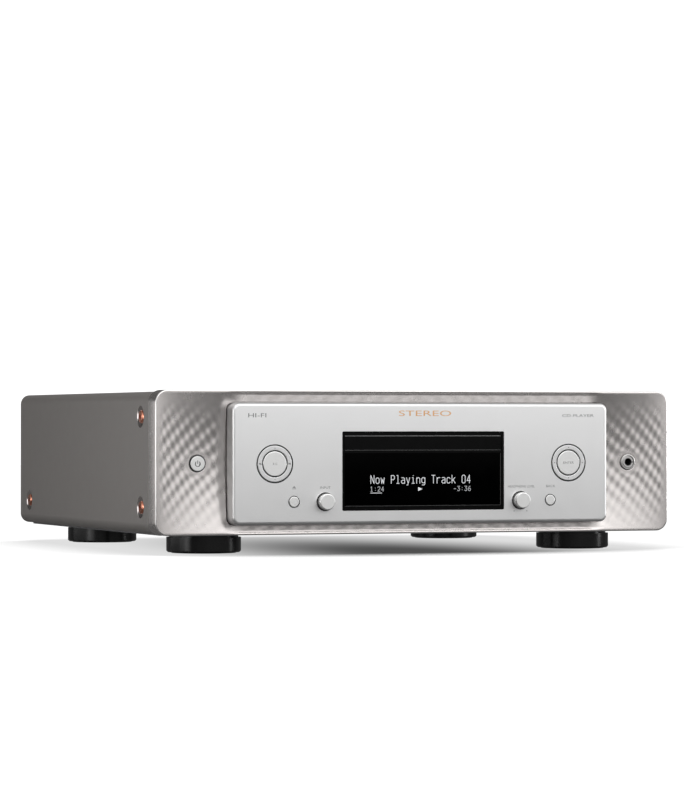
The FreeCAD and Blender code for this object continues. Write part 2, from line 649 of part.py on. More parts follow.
def rotary_controls():
    """The encoder and the potentiometer behind the knobs: bush and can."""
    shapes = []
    for side in (-1, 1):
        at = (side * KNOB_X, KNOB_Z)
        bush = disc(at, 4.5, (-7.6, -4.0), "y")
        can = centred(at, 15.0, 16.0, (-4.0, BOARD_Y[0]))
        shapes.append(cut(fuse([bush, can]), [disc(at, 3.0 + RUNNING, (-9, 2.5), "y")]))
    return shapes


def control_boards():
    """The two front control boards with their ring pivot posts, and the small power switch board."""
    shapes = []
    for side in (-1, 1):
        board = box(sorted((side * 74, side * 152)), BOARD_Y, (31.5, 112.0))
        shapes.append(board)
        x = side * RING_X
        for hand in (-1, 1):
            post_z = sorted((RING_Z + hand * 4.6, RING_Z + hand * 6.8))
            post = box((x - 1.6, x + 1.6), (GIMBAL_Y - 1.7, BOARD_Y[0]), post_z)
            shapes.append(cut(post, [disc((x, GIMBAL_Y), 0.8 + RUNNING, (post_z[0] - 1, post_z[1] + 1))]))
    at = (-SIDE_CONTROL_X, SIDE_CONTROL_Z)
    shapes.append(centred(at, 22.0, 30.0, (16.4, 18.0)))
    return shapes


def tact_switches():
    """Push switches under every button and under the four ends of each ring."""
    shapes = []
    for side in (-1, 1):
        for x, z in ((RING_X, RING_Z), (SMALL_BUTTON_X, SMALL_BUTTON_Z)):
            body = centred((side * x, z), 6.0, 6.0, (SWITCH_Y + 0.4, BOARD_Y[0]))
            shapes.append(fuse([body, disc((side * x, z), 1.5, (SWITCH_Y, SWITCH_Y + 0.4), "y")]))
        for dx, dz in ((12.6, 0), (-12.6, 0), (0, 12.6), (0, -12.6)):
            at = (side * RING_X + dx, RING_Z + dz)
            body = centred(at, 5.0, 5.0, (1.6, BOARD_Y[0]))
            shapes.append(fuse([body, disc(at, 1.3, (-0.2, 1.6), "y")]))
    at = (-SIDE_CONTROL_X, SIDE_CONTROL_Z)
    body = centred(at, 7.0, 7.0, (13.6, 16.4))
    shapes.append(fuse([body, disc(at, 1.8, (13.0, 13.6), "y")]))
    return shapes


def headphone_jack():
    """A 6.35 mm headphone socket with its dished front ring."""
    at = (SIDE_CONTROL_X, SIDE_CONTROL_Z)
    ring = disc(at, JACK_RING_R, (1.3, 5.0), "y")
    edge = [item for item in ring.Edges if abs(item.BoundBox.YMax - 1.3) < 0.01]
    ring = ring.makeFillet(0.6, edge)
    dish = cone(at, (5.3, 4.9), (1.29, 2.3), "y")
    nose = disc(at, 4.4, (1.5, 5.0), "y")
    body = centred(at, 15.0, 16.0, (9.5, 33.0))
    neck = disc(at, 6.0, (5.0, 9.5), "y")
    bore = disc(at, JACK_BORE_R, (0, 30.0), "y")
    outer = cut(ring, [dish])
    return [cut(fuse([outer, nose, neck, body]), [bore])]


# ---- disc loader ----------------------------------------------------------------------------------------------
def disc_tray():
    body = box((-TRAY_HALF_W, TRAY_HALF_W), TRAY_Y, TRAY_Z)
    pocket = disc((0, DISC_Y), DISC_POCKET[0], (DISC_POCKET[1], TRAY_Z[1] + 1))
    small = disc((0, DISC_Y), SMALL_POCKET[0], (SMALL_POCKET[1], DISC_POCKET[1] + 1))
    slot = box((-SLOT_HALF_W, SLOT_HALF_W), (SLOT_FRONT_Y, TRAY_Y[1] + 1), (80, 95))
    thumb = disc((0, DISC_Y - DISC_POCKET[0]), 16.0, (DISC_POCKET[1] + 0.6, TRAY_Z[1] + 1))
    rail_y = (31.5, TRAY_Y[1])
    hollow_z = (TRAY_Z[0] - 1, TRAY_HOLLOW_Z)
    left = box((TRAY_RACK_X - 3.0, -SLOT_HALF_W - 2), (22.0, TRAY_Y[1] + 1), hollow_z)
    right = box((SLOT_HALF_W + 2, TRAY_HALF_W - 3), (22.0, TRAY_Y[1] - 3), hollow_z)
    shell = cut(body, [pocket, small, slot, thumb, left, right])
    teeth = rack(TRAY_MODULE, TRAY_RACK_X, 1, rail_y, TRAY_GEAR_AT[1], TRAY_RACK_X - 3.2, (TRAY_Z[0], TRAY_HOLLOW_Z))
    return [fuse([shell, teeth])]


def tray_door():
    return [soft_front(slab(DOOR_HALF_W, DOOR_Z, (WINDOW_Y[0] + 0.1, TRAY_Y[0]), 0.6), 0.4)]


def pulley(centre, r, z, flange=0.7):
    """A belt pulley with two flanges."""
    rim = 0.6
    low = disc(centre, r + flange, (z[0], z[0] + rim))
    high = disc(centre, r + flange, (z[1] - rim, z[1]))
    return fuse([disc(centre, r, z), low, high])


def loading_gear():
    """The tray gear, the belt pulley below it and the bore for its axle."""
    wheel = gear(TRAY_GEAR_TEETH, TRAY_MODULE, TRAY_GEAR_AT, (82.6, 85.5))
    hub = disc(TRAY_GEAR_AT, 5.0, (PULLEY_Z[1], 82.6))
    whole = fuse([wheel, hub, pulley(TRAY_GEAR_AT, PULLEY_R, PULLEY_Z)])
    return [cut(whole, [disc(TRAY_GEAR_AT, 2.0 + RUNNING, (70, 84.6))])]


def motor_pulley():
    spindle = disc(MOTOR_AT, SPINDLE_R, (70.0, PULLEY_Z[0]))
    return [fuse([pulley(MOTOR_AT, MOTOR_PULLEY_R, PULLEY_Z), spindle])]


def belt_loop(extra):
    """The outline of a belt round both pulleys, extra outside the groove radii."""
    ax, ay = TRAY_GEAR_AT
    bx, by = MOTOR_AT
    big = PULLEY_R + extra
    small = MOTOR_PULLEY_R + extra
    span = math.hypot(bx - ax, by - ay)
    heading = math.atan2(by - ay, bx - ax)
    lean = math.acos((big - small) / span)

    def point(centre, r, angle):
        return VECTOR(centre[0] + r * math.cos(angle), centre[1] + r * math.sin(angle), PULLEY_Z[0] + 0.8)

    def bend(centre, r, start, middle, end):
        return Part.Arc(point(centre, r, start), point(centre, r, middle), point(centre, r, end)).toShape()

    upper, lower = heading + lean, heading - lean
    edges = [
        Part.makeLine(point(TRAY_GEAR_AT, big, upper), point(MOTOR_AT, small, upper)),
        bend(MOTOR_AT, small, upper, heading, lower),
        Part.makeLine(point(MOTOR_AT, small, lower), point(TRAY_GEAR_AT, big, lower)),
        bend(TRAY_GEAR_AT, big, lower, heading + math.pi, upper),
    ]
    return Part.Face(Part.Wire(edges)).extrude(VECTOR(0, 0, PULLEY_Z[1] - PULLEY_Z[0] - 1.6))


def drive_belt():
    return [belt_loop(RUNNING + BELT_T).cut(belt_loop(RUNNING))]


def loading_motor():
    can = disc(MOTOR_AT, 9.5, (55.0, 73.0))
    boss = disc(MOTOR_AT, 3.0, (73.0, 74.6))
    return [cut(fuse([can, boss]), [disc(MOTOR_AT, SPINDLE_R + RUNNING, (69.8, 75))])]


def loader_frame():
    """The moulded loader chassis: floor, side walls with the tray rails, pivot ears and cam guides."""
    floor = box((-72, 72), (24, 204), (52, 54.5))
    parts = [floor]
    for side in (-1, 1):
        parts.append(box(sorted((side * 67, side * 72)), (24, 204), (54.5, 96)))
        parts.append(box(sorted((side * 62.5, side * 67)), (24, 204), (79.8, 82.2)))
        for y in (90, 130):
            parts.append(box(sorted((side * 62.6, side * 67)), (y, y + 14), (92.4, 94.6)))
        parts.append(box(sorted((side * 39.5, side * 46)), (155, 165), (54.5, 72)))
    parts.append(box((-67, 67), (200, 204), (54.5, 96)))
    for y in ((43.3, 44.2), (47.3, 48.2)):
        parts.append(box((-12, 58), y, (54.5, 56.2)))
    parts.append(disc(TRAY_GEAR_AT, 2.0, (54.5, 84.2)))
    parts.append(disc(TRAY_GEAR_AT, 5.0, (54.5, 75.6)))
    opening = box((-38.6, 42), (53, 150), (50, 56))
    rear_opening = box((-38.6, 38.6), (149, 172), (50, 56))
    corners = [disc((x, y), 3.0, (50, 56)) for x in (-60, 60) for y in (62, 190)]
    bore = disc(TRAVERSE_PIVOT, 2.0 + RUNNING, (-50, 50), "x")
    motor_seat = disc(MOTOR_AT, 9.6, (53.5, 57))
    return [cut(fuse(parts), [opening, rear_opening, bore, motor_seat] + corners)]


def loader_brackets():
    """Two folded steel brackets that carry the loader on the chassis floor."""
    shapes = []
    for side in (-1, 1):
        top = box(sorted((side * 54, side * 76)), (50, 202), (46.4, 48.0))
        wall = box(sorted((side * 74.4, side * 76)), (50, 202), (FLOOR_TOP, 46.4))
        foot = box(sorted((side * 76, side * 90)), (50, 202), (FLOOR_TOP, FLOOR_TOP + 1.6))
        holes = [disc((side * 60, y), 3.0, (44, 50)) for y in (62, 190)]
        lightening = [box(sorted((side * 73, side * 77)), (y, y + 36), (26, 42)) for y in (76, 136)]
        shapes.append(cut(fuse([top, wall, foot]), holes + lightening))
    return shapes


def isolation_dampers():
    """Rubber grommets between the brackets and the loader frame."""
    shapes = []
    for x in (-60, 60):
        for y in (62, 190):
            body = fuse([disc((x, y), 6.0, (48, 52)), disc((x, y), 2.9, (46, 54.6)), disc((x, y), 4.6, (54.6, 56))])
            shapes.append(cut(body, [disc((x, y), 1.3, (45, 57))]))
    return shapes


def cam_slot():
    """The sloping slot, swept by the traverse pin over the slider's travel."""
    drop = (TRAVERSE_PIVOT[0] - CAM_Y[0] - 1.2) * math.sin(math.radians(TRAVERSE_TILT))
    high = VECTOR(CAM_PIN[0] - CAM_TRAVEL, CAM_Y[0] - 1, CAM_PIN[1])
    low = VECTOR(CAM_PIN[0], CAM_Y[0] - 1, CAM_PIN[1] - drop)
    r = CAM_PIN_R + 0.35
    along = high.sub(low)
    along.normalize()
    across = VECTOR(-along.z, 0, along.x) * r
    edges = [
        Part.makeLine(low.add(across), high.add(across)),
        Part.Arc(high.add(across), high.add(along * r), high.sub(across)).toShape(),
        Part.makeLine(high.sub(across), low.sub(across)),
        Part.Arc(low.sub(across), low.sub(along * r), low.add(across)).toShape(),
    ]
    return Part.Face(Part.Wire(edges)).extrude(VECTOR(0, 6, 0))


def cam_slider():
    plate = box((-8, 34), CAM_Y, (54.8, 75.0))
    tab = box((26, 34), (CAM_Y[0], CAM_Y[1]), (75.0, 79.0))
    return [cut(fuse([plate, tab]), [cam_slot()])]


def traverse_frame():
    """The tilting sub-chassis of the optical drive, with its pivot pins, cam pin and rod posts."""
    plate = box((-38, 38), (48.6, 150), TRAVERSE_Z)
    parts = [plate]
    for side in (-1, 1):
        parts.append(box(sorted((side * 34.5, side * 38)), (149, 164), (63.5, TRAVERSE_Z[1])))
        parts.append(disc(TRAVERSE_PIVOT, 2.0, sorted((side * 37, side * 44.5)), "x"))
        post_x = (side * ROD_X - 2.6, side * ROD_X + 2.6)
        for y in ((77.5, 80.5), ROD_END_POST):
            parts.append(box(post_x, y, (TRAVERSE_Z[1], ROD_Z + 2.6)))
        parts.append(box(post_x, (147, ROD_END_POST[1]), TRAVERSE_Z))
    parts.append(disc(CAM_PIN, CAM_PIN_R, (CAM_Y[0] - 0.5, 49), "y"))
    parts.append(disc(SLED_GEAR_AT, 1.0, (TRAVERSE_Z[1], 77.0)))
    rods = guide_rod_solids()
    opening = box((-13, 21), (84, 144), (60, 72))
    motor_hole = disc((0, DISC_Y), 3.4, (60, 72))
    sled_motor_hole = disc((SLED_GEAR_AT[0], SLED_MOTOR_Y), 2.4, (60, 72))
    return [lowered(cut(fuse(parts), rods + [opening, motor_hole, sled_motor_hole]))]


def guide_rod_solids():
    return [disc((side * ROD_X, ROD_Z), ROD_R, (79, ROD_END_POST[0] + 1.5), "y") for side in (-1, 1)]


def guide_rods():
    return [lowered(rod) for rod in guide_rod_solids()]


def traverse_motors():
    """The spindle motor and the sled motor, both under the traverse plate."""
    motors = []
    sled_at = (SLED_GEAR_AT[0], SLED_MOTOR_Y)
    for at, r, low, boss_r, top in (((0, DISC_Y), 12.0, 58.5, 3.2, 74.0), (sled_at, 7.0, 57.0, 2.3, 70.4)):
        can = disc(at, r, (low, TRAVERSE_Z[0]))
        boss = disc(at, boss_r, (TRAVERSE_Z[0], top))
        motors.append(lowered(cut(fuse([can, boss]), [disc(at, SPINDLE_R + RUNNING, (62, top + 1))])))
    return motors


def turntable():
    """The platter with its centring cone, on the spindle."""
    platter = disc((0, DISC_Y), TURNTABLE_R, (TURNTABLE_TOP - 2.4, TURNTABLE_TOP))
    hub = disc((0, DISC_Y), 6.0, (TURNTABLE_TOP - 7, TURNTABLE_TOP - 2.4))
    nose = cone((0, DISC_Y), (7.4, 5.6), (TURNTABLE_TOP, TURNTABLE_TOP + 2.5), "z")
    spindle = disc((0, DISC_Y), SPINDLE_R, (62.5, TURNTABLE_TOP - 7))
    return [lowered(fuse([platter, hub, nose, spindle]))]


def pickup_sled():
    """The laser unit's carriage on its two guide rods, with the rack of the sled drive."""
    body = box((-19, 19), (84.5, 118), (73.2, 80.6))
    head = box((-13, 13), (84.5, 108), (80.6, 83.6))
    teeth_y = (84.5, 126)
    teeth = rack(SLED_MODULE, SLED_RACK_X, -1, teeth_y, SLED_GEAR_AT[1], -19.0, (73.2, 75.4))
    bores = [disc((side * ROD_X, ROD_Z), ROD_R + RUNNING, (80, 130), "y") for side in (-1, 1)]
    below = box((-9, 9), (88, 112), (70, 77))
    return [lowered(cut(fuse([body, head, teeth]), bores + [below]))]


def objective_lens():
    """The lens and its holder, floating above the pickup head."""
    holder = disc((0, LENS_Y), 4.4, (84.3, 85.6))
    rim = disc((0, LENS_Y), 3.0, (85.6, 86.6))
    dome = Part.makeSphere(4.0, VECTOR(0, LENS_Y, 83.5))
    dome = dome.common(disc((0, LENS_Y), 2.4, (86.4, 88)))
    return [lowered(fuse([holder, rim, dome]))]


def sled_gear():
    wheel = gear(SLED_GEAR_TEETH, SLED_MODULE, SLED_GEAR_AT, (71.5, 72.8))
    pinion = gear(SLED_PINION_TEETH, SLED_MODULE, SLED_GEAR_AT, (72.8, 75.8))
    return [lowered(cut(fuse([wheel, pinion]), [disc(SLED_GEAR_AT, 1.0 + RUNNING, (70, 77))]))]


def sled_pinion():
    at = (SLED_GEAR_AT[0], SLED_MOTOR_Y)
    half_tooth = math.pi / SLED_MOTOR_TEETH
    wheel = gear(SLED_MOTOR_TEETH, SLED_MODULE, at, (71.5, 73.4), half_tooth)
    return [lowered(fuse([wheel, disc(at, SPINDLE_R, (62.5, 71.5))]))]


def clamper_bridge():
    """The bridge over the tray that holds the clamping puck."""
    beam = box((-72, 72), (DISC_Y - 18, DISC_Y + 18), (96.0, 98.4))
    ribs = [box((-72, 72), y, (98.4, 101.4)) for y in ((DISC_Y - 18, DISC_Y - 16), (DISC_Y + 16, DISC_Y + 18))]
    return [cut(fuse([beam] + ribs), [disc((0, DISC_Y), 12.2, (95, 102))])]


def clamper_puck():
    """The magnetic puck, held by its top flange, with a recess for the centring cone."""
    plate = disc((0, DISC_Y), 15.4, (PUCK_Z[0], PUCK_Z[1]))
    neck = disc((0, DISC_Y), 11.6, (PUCK_Z[1], PUCK_Z[2]))
    top = disc((0, DISC_Y), 14.6, (PUCK_Z[2], PUCK_Z[3]))
    recess = disc((0, DISC_Y), 8.8, (PUCK_Z[0] - 1, PUCK_Z[0] + 2.8))
    return [cut(fuse([plate, neck, top]), [recess])]


# ---- electronics ----------------------------------------------------------------------------------------------
TRANSFORMER_AT = (-148.0, 114.0)


def board(x, y, z, posts):
    """A circuit board on round posts standing on the chassis floor."""
    plate = box(x, y, (z, z + 1.6))
    return fuse([plate] + [disc(at, 3.0, (FLOOR_TOP, z)) for at in posts])


def corners_of(x, y, inset=6.0):
    return [(px, py) for px in (x[0] + inset, x[1] - inset) for py in (y[0] + inset, y[1] - inset)]


def main_board():
    """The digital board behind the loader, with its processor, shielded network module and headers."""
    x, y = (-92.0, 58.0), (214.0, 380.0)
    plate = board(x, y, 28.0, corners_of(x, y))
    network = box((-80, -30), (320, 372), (29.6, 37.6))
    chips = [box((-10, 8), (262, 280), (29.6, 31.4)), box((24, 38), (300, 314), (29.6, 31.2))]
    chips.append(box((-70, -50), (236, 250), (29.6, 32.0)))
    return [plate, network] + chips


def audio_board():
    """The analogue board on the right, with its shielded amplifier modules and film capacitors."""
    x, y = (98.0, 208.0), (70.0, 380.0)
    parts = [board(x, y, 28.0, corners_of(x, y))]
    for row in range(2):
        for column in range(2):
            at = (112.0 + 46.0 * column, 210.0 + 60.0 * row)
            parts.append(box((at[0], at[0] + 34), (at[1], at[1] + 26), (29.6, 43.6)))
    for index in range(6):
        parts.append(disc((112.0 + 16.0 * index, 350.0), 5.0, (29.6, 45.0)))
    return parts


def power_board():
    """The supply board behind the transformer, with its rectifier block and heat sink."""
    x, y = (-208.0, -104.0), (186.0, 366.0)
    parts = [board(x, y, 28.0, corners_of(x, y))]
    spine = box((-204, -200), (200, 300), (29.6, 62.0))
    fins = [box((-200, -190), (yy, yy + 1.6), (29.6, 62.0)) for yy in range(204, 298, 8)]
    parts.append(fuse([spine] + fins))
    parts.append(box((-150, -120), (330, 350), (29.6, 48.0)))
    return parts


def reservoir_capacitors():
    shapes = []
    for row in range(2):
        for column in range(3):
            at = (-170.0 + 26.0 * column, 216.0 + 30.0 * row)
            can = disc(at, 11.0, (29.6, 66.0))
            top = [edge for edge in can.Edges if abs(edge.BoundBox.ZMin - 66.0) < 0.01]
            shapes.append(can.makeFillet(1.2, top))
    return shapes


def transformer():
    """The toroidal mains transformer, wound and taped."""
    ring = tube(TRANSFORMER_AT, (18.0, 50.0), (FLOOR_TOP + 2.0, FLOOR_TOP + 46.0))
    rims = [edge for edge in ring.Edges if edge.BoundBox.ZLength < 0.01]
    return [ring.makeFillet(9.0, rims)]


def transformer_mount():
    """Base pad, top dish and the bolt through the middle of the toroid."""
    low = disc(TRANSFORMER_AT, 46.0, (FLOOR_TOP, FLOOR_TOP + 2.0))
    high = disc(TRANSFORMER_AT, 34.0, (FLOOR_TOP + 46.0, FLOOR_TOP + 48.0))
    bolt = disc(TRANSFORMER_AT, 4.0, (FLOOR_TOP + 2.0, FLOOR_TOP + 52.0))
    return [fuse([low, high, bolt])]


def ribbon_cables():
    """Flat cables: display to main board on the right of the loader, and control boards across the front."""
    run_x = (80.0, 92.0)
    parts = [box(run_x, (24.0, 232.0), (100.0, 100.8))]
    parts.append(box(run_x, (231.2, 232.0), (33.0, 100.0)))
    parts.append(box((48.0, 92.0), (231.2, 232.0), (30.4, 33.0)))
    left = box((-92.0, -80.0), (24.0, 236.0), (104.0, 104.8))
    left_drop = box((-92.0, -80.0), (235.2, 236.0), (29.6, 104.0))
    return [fuse(parts), fuse([left, left_drop])]


NODES = {
    "front_baffle": front_baffle,
    "front_panel": front_panel,
    "panel_carrier": panel_carrier,
    "window_bezel": window_bezel,
    "display_lens": display_lens,
    "display_module": display_module,
    "top_cover": top_cover,
    "side_screws": side_screws,
    "chassis_base": chassis_base,
    "bottom_plate": bottom_plate,
    "front_subchassis": front_subchassis,
    "feet": feet,
    "foot_pads": foot_pads,
    "case_screws": case_screws,
    "rear_panel": rear_panel,
    "phono_jacks": phono_jacks,
    "rear_ports": rear_ports,
    "ac_inlet": ac_inlet,
    "power_button": power_button,
    "control_boards": control_boards,
    "tact_switches": tact_switches,
    "rotary_controls": rotary_controls,
    "headphone_jack": headphone_jack,
    "disc_tray": disc_tray,
    "tray_door": tray_door,
    "loading_gear": loading_gear,
    "motor_pulley": motor_pulley,
    "drive_belt": drive_belt,
    "loading_motor": loading_motor,
    "loader_frame": loader_frame,
    "loader_brackets": loader_brackets,
    "isolation_dampers": isolation_dampers,
    "cam_slider": cam_slider,
    "traverse_frame": traverse_frame,
    "guide_rods": guide_rods,
    "traverse_motors": traverse_motors,
    "turntable": turntable,
    "pickup_sled": pickup_sled,
    "objective_lens": objective_lens,
    "sled_gear": sled_gear,
    "sled_pinion": sled_pinion,
    "clamper_bridge": clamper_bridge,
    "clamper_puck": clamper_puck,
    "main_board": main_board,
    "audio_board": audio_board,
    "power_board": power_board,
    "reservoir_capacitors": reservoir_capacitors,
    "transformer": transformer,
    "transformer_mount": transformer_mount,
    "ribbon_cables": ribbon_cables,
}
LEFT, RIGHT = -1, 1
SIDED_NODES = {
    "play_button": (centre_button, LEFT),
    "enter_button": (centre_button, RIGHT),
    "transport_ring": (rocker_ring, LEFT),
    "nav_ring": (rocker_ring, RIGHT),
    "transport_gimbal": (gimbal, LEFT),
    "nav_gimbal": (gimbal, RIGHT),
    "eject_button": (small_button, LEFT),
    "back_button": (small_button, RIGHT),
    "input_knob": (knob, LEFT),
    "level_knob": (knob, RIGHT),
}


def main():
    os.makedirs("parts", exist_ok=True)
    for name, make in NODES.items():
        export_node(name, make())
    for name, (make, side) in SIDED_NODES.items():
        export_node(name, make(side))


main()
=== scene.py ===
"""Looks of a full-width CD player: sculpted front, finishes, printing, display and a studio.

Lengths in this script are millimetres in the row frame, turned into metres where a mesh is made.
X is to the right, Y to the rear and Z up.
"""
import math

import bmesh
import bpy
import numpy as np
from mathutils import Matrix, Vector


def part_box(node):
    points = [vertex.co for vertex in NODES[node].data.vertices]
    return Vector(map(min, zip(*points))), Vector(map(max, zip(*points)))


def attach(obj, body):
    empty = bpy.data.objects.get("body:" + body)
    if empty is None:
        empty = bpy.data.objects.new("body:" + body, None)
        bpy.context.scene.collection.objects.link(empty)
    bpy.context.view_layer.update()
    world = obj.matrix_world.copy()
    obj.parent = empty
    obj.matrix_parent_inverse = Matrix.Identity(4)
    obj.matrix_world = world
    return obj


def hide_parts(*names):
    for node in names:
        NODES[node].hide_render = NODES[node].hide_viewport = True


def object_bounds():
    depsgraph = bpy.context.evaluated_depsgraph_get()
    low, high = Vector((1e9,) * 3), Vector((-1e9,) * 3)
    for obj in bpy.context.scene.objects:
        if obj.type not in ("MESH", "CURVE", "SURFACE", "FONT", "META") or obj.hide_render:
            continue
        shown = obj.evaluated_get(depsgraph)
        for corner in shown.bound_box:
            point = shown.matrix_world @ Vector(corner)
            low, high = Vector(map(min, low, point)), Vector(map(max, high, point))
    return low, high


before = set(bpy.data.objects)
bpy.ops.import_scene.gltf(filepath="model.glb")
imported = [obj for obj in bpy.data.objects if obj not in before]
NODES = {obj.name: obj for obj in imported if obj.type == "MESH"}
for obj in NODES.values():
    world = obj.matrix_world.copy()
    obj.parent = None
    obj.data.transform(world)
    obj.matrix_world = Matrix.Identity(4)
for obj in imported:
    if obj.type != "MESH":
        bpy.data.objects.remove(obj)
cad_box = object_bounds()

MM = 0.001


def add_node(tree, kind, inputs=None, **settings):
    """A shader node: inputs maps its sockets to values or to outputs linked to them."""
    node = tree.nodes.new("ShaderNode" + kind)
    for key, value in settings.items():
        setattr(node, key, value)
    for socket, value in (inputs or {}).items():
        if isinstance(value, bpy.types.NodeSocket):
            tree.links.new(value, node.inputs[socket])
        else:
            node.inputs[socket].default_value = value
    return node


def map_range(tree, value, span, levels=(0.0, 1.0), ease="LINEAR"):
    """The value taken from the span to the levels."""
    limits = {"From Min": span[0], "From Max": span[1], "To Min": levels[0], "To Max": levels[1]}
    node = add_node(tree, "MapRange", {**limits, "Value": value}, interpolation_type=ease)
    return node.outputs["Result"]


def node_box(name):
    """The lowest and highest corner of a CAD node, in millimetres."""
    low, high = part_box(name)
    return [v / MM for v in low], [v / MM for v in high]


def node_centre(name):
    low, high = node_box(name)
    return [(a + b) / 2 for a, b in zip(low, high)]


# ---- materials ----
class Finish:
    """A material built round one principled shader, with helpers that add its procedural detail."""

    def __init__(self, name, colour, metallic=0.0, roughness=0.5, coat=0.0, specular=0.5):
        self.material = bpy.data.materials.new(name)
        self.material.use_nodes = True
        self.tree = self.material.node_tree
        self.shader = self.tree.nodes["Principled BSDF"]
        self.colour = colour
        self.roughness = roughness
        self.set("Base Color", (*colour, 1.0))
        self.set("Metallic", metallic)
        self.set("Roughness", roughness)
        self.set("Coat Weight", coat)
        self.set("Coat Roughness", 0.08)
        self.set("Specular IOR Level", specular)
        self.coordinates = self.tree.nodes.new("ShaderNodeTexCoord").outputs["Object"]

    def set(self, socket, value):
        self.shader.inputs[socket].default_value = value

    def link(self, output, target):
        self.tree.links.new(output, target)

    def node(self, kind, inputs=None, **settings):
        return add_node(self.tree, kind, inputs, **settings)

    def noise(self, size, detail=2.0, stretch=(1.0, 1.0, 1.0)):
        """Noise with features of about size millimetres, longer by stretch along each axis."""
        scale = [1.0 / (size * MM * s) for s in stretch]
        mapping = self.node("Mapping", {"Scale": scale, "Vector": self.coordinates})
        place = mapping.outputs["Vector"]
        return self.node("TexNoise", {"Scale": 1.0, "Detail": detail, "Vector": place}).outputs["Fac"]

    def flakes(self, size):
        """Cells of about size millimetres, each with its own value."""
        cells = self.node("TexVoronoi", {"Scale": 1.0 / (size * MM), "Vector": self.coordinates})
        return self.node("SeparateColor", {"Color": cells.outputs["Color"]}).outputs["Red"]

    def rings(self, centre, size):
        """Noise that only changes with the distance from an axis along Y, as on a turned face."""
        middle = (centre[0] * MM, 0.0, centre[2] * MM)
        offset = self.node("VectorMath", {0: self.coordinates, 1: middle}, operation="SUBTRACT")
        across = {0: offset.outputs["Vector"], 1: (1.0, 0.0, 1.0)}
        flat = self.node("VectorMath", across, operation="MULTIPLY")
        radius = self.node("VectorMath", {0: flat.outputs["Vector"]}, operation="LENGTH")
        turned = {"Scale": 1.0 / (size * MM), "W": radius.outputs["Value"]}
        return self.node("TexNoise", turned, noise_dimensions="1D").outputs["Fac"]

    def stripes(self, size, direction="X"):
        """Straight bands with a period of size millimetres."""
        bands = {"Scale": math.tau / (20.0 * size * MM), "Vector": self.coordinates}
        return self.node("TexWave", bands, bands_direction=direction).outputs["Fac"]

    def scaled(self, factor, low, high):
        """A texture's factor stretched so that its middle range runs from low to high."""
        return map_range(self.tree, factor, (0.3, 0.7), (low, high))

    def tint(self, factor, other, strength=1.0):
        """Vary the base colour towards other where the factor is high."""
        ends = {"A": (*self.colour, 1.0), "B": (*other, 1.0), "Factor": self.scaled(factor, 0.0, strength)}
        mix = self.node("Mix", ends, data_type="RGBA")
        self.link(mix.outputs["Result"], self.shader.inputs["Base Color"])

    def fade(self, axis, start, end, low, high):
        """Multiply the base colour by low at start and by high at end, millimetres on an axis."""
        place = self.node("SeparateXYZ", {"Vector": self.coordinates}).outputs[axis]
        share = map_range(self.tree, place, (start * MM, end * MM), (low, high))
        tone = self.shader.inputs["Base Color"].links[0].from_socket
        product = self.node("VectorMath", {"Vector": tone, "Scale": share}, operation="SCALE")
        self.link(product.outputs["Vector"], self.shader.inputs["Base Color"])

    def rough(self, factor, low, high):
        """Vary the roughness from low to high beside its base value."""
        varied = self.scaled(factor, self.roughness + low, self.roughness + high)
        self.link(varied, self.shader.inputs["Roughness"])

    def bump(self, factor, height):
        """Relief of the given height in millimetres."""
        relief = self.node("Bump", {"Strength": 1.0, "Distance": height * MM, "Height": factor})
        self.link(relief.outputs["Normal"], self.shader.inputs["Normal"])

    def glow(self, colour, strength):
        self.set("Emission Color", (*colour, 1.0))
        self.set("Emission Strength", strength)


def shade(colour, factor):
    return tuple(min(1.0, channel * factor) for channel in colour)


def painted_metal(name, colour, roughness, metallic):
    """Metallic lacquer: fine flakes, a slight orange peel and a hardly visible cloudiness."""
    finish = Finish(name, colour, metallic=metallic, roughness=roughness)
    finish.tint(finish.flakes(0.18), shade(colour, 1.09), 0.8)
    finish.rough(finish.noise(9.0), -0.015, 0.015)
    finish.bump(finish.noise(0.35, detail=3.0), 0.0008)
    return finish.material


def blasted_aluminium(name, colour, roughness, fades=()):
    """Bead-blasted and anodised: an even, very fine grain; any fades are painted light and shade, such as
    lighter towards the top and darker towards the bottom and the edges.
    """
    finish = Finish(name, colour, metallic=0.85, roughness=roughness)
    finish.tint(finish.noise(0.22, detail=4.0), shade(colour, 0.955))
    for band in fades:
        finish.fade(*band)
    finish.rough(finish.noise(14.0), -0.02, 0.02)
    finish.bump(finish.noise(0.2, detail=4.0), 0.003)
    return finish.material


def turned_aluminium(name, colour, centre, roughness):
    """Turned on a lathe: fine rings round the axis at centre."""
    finish = Finish(name, colour, metallic=0.85, roughness=roughness)
    finish.tint(finish.rings(centre, 0.5), shade(colour, 0.96))
    finish.rough(finish.noise(0.8), -0.02, 0.02)
    finish.bump(finish.rings(centre, 0.25), 0.0006)
    return finish.material


def moulded_plastic(name, colour, roughness, grain=0.4):
    """Moulded plastic with a spark-eroded grain."""
    finish = Finish(name, colour, roughness=roughness)
    finish.tint(finish.noise(18.0), shade(colour, 1.12))
    finish.rough(finish.noise(4.0), -0.04, 0.05)
    finish.bump(finish.noise(grain, detail=3.0), 0.012)
    return finish.material


def polished_black(name, colour, roughness, coat, specular=0.5):
    """Polished black with the faintest haze."""
    finish = Finish(name, colour, roughness=roughness, coat=coat, specular=specular)
    finish.tint(finish.noise(6.0), shade(colour, 1.4))
    finish.rough(finish.noise(11.0, detail=4.0), 0.0, 0.04)
    return finish.material


def soft_rubber(name, colour):
    """Matt rubber with a fine grain."""
    finish = Finish(name, colour, roughness=0.85, specular=0.3)
    finish.tint(finish.noise(1.2), shade(colour, 1.5))
    finish.rough(finish.noise(2.0), -0.07, 0.07)
    finish.bump(finish.noise(0.25, detail=4.0), 0.02)
    return finish.material


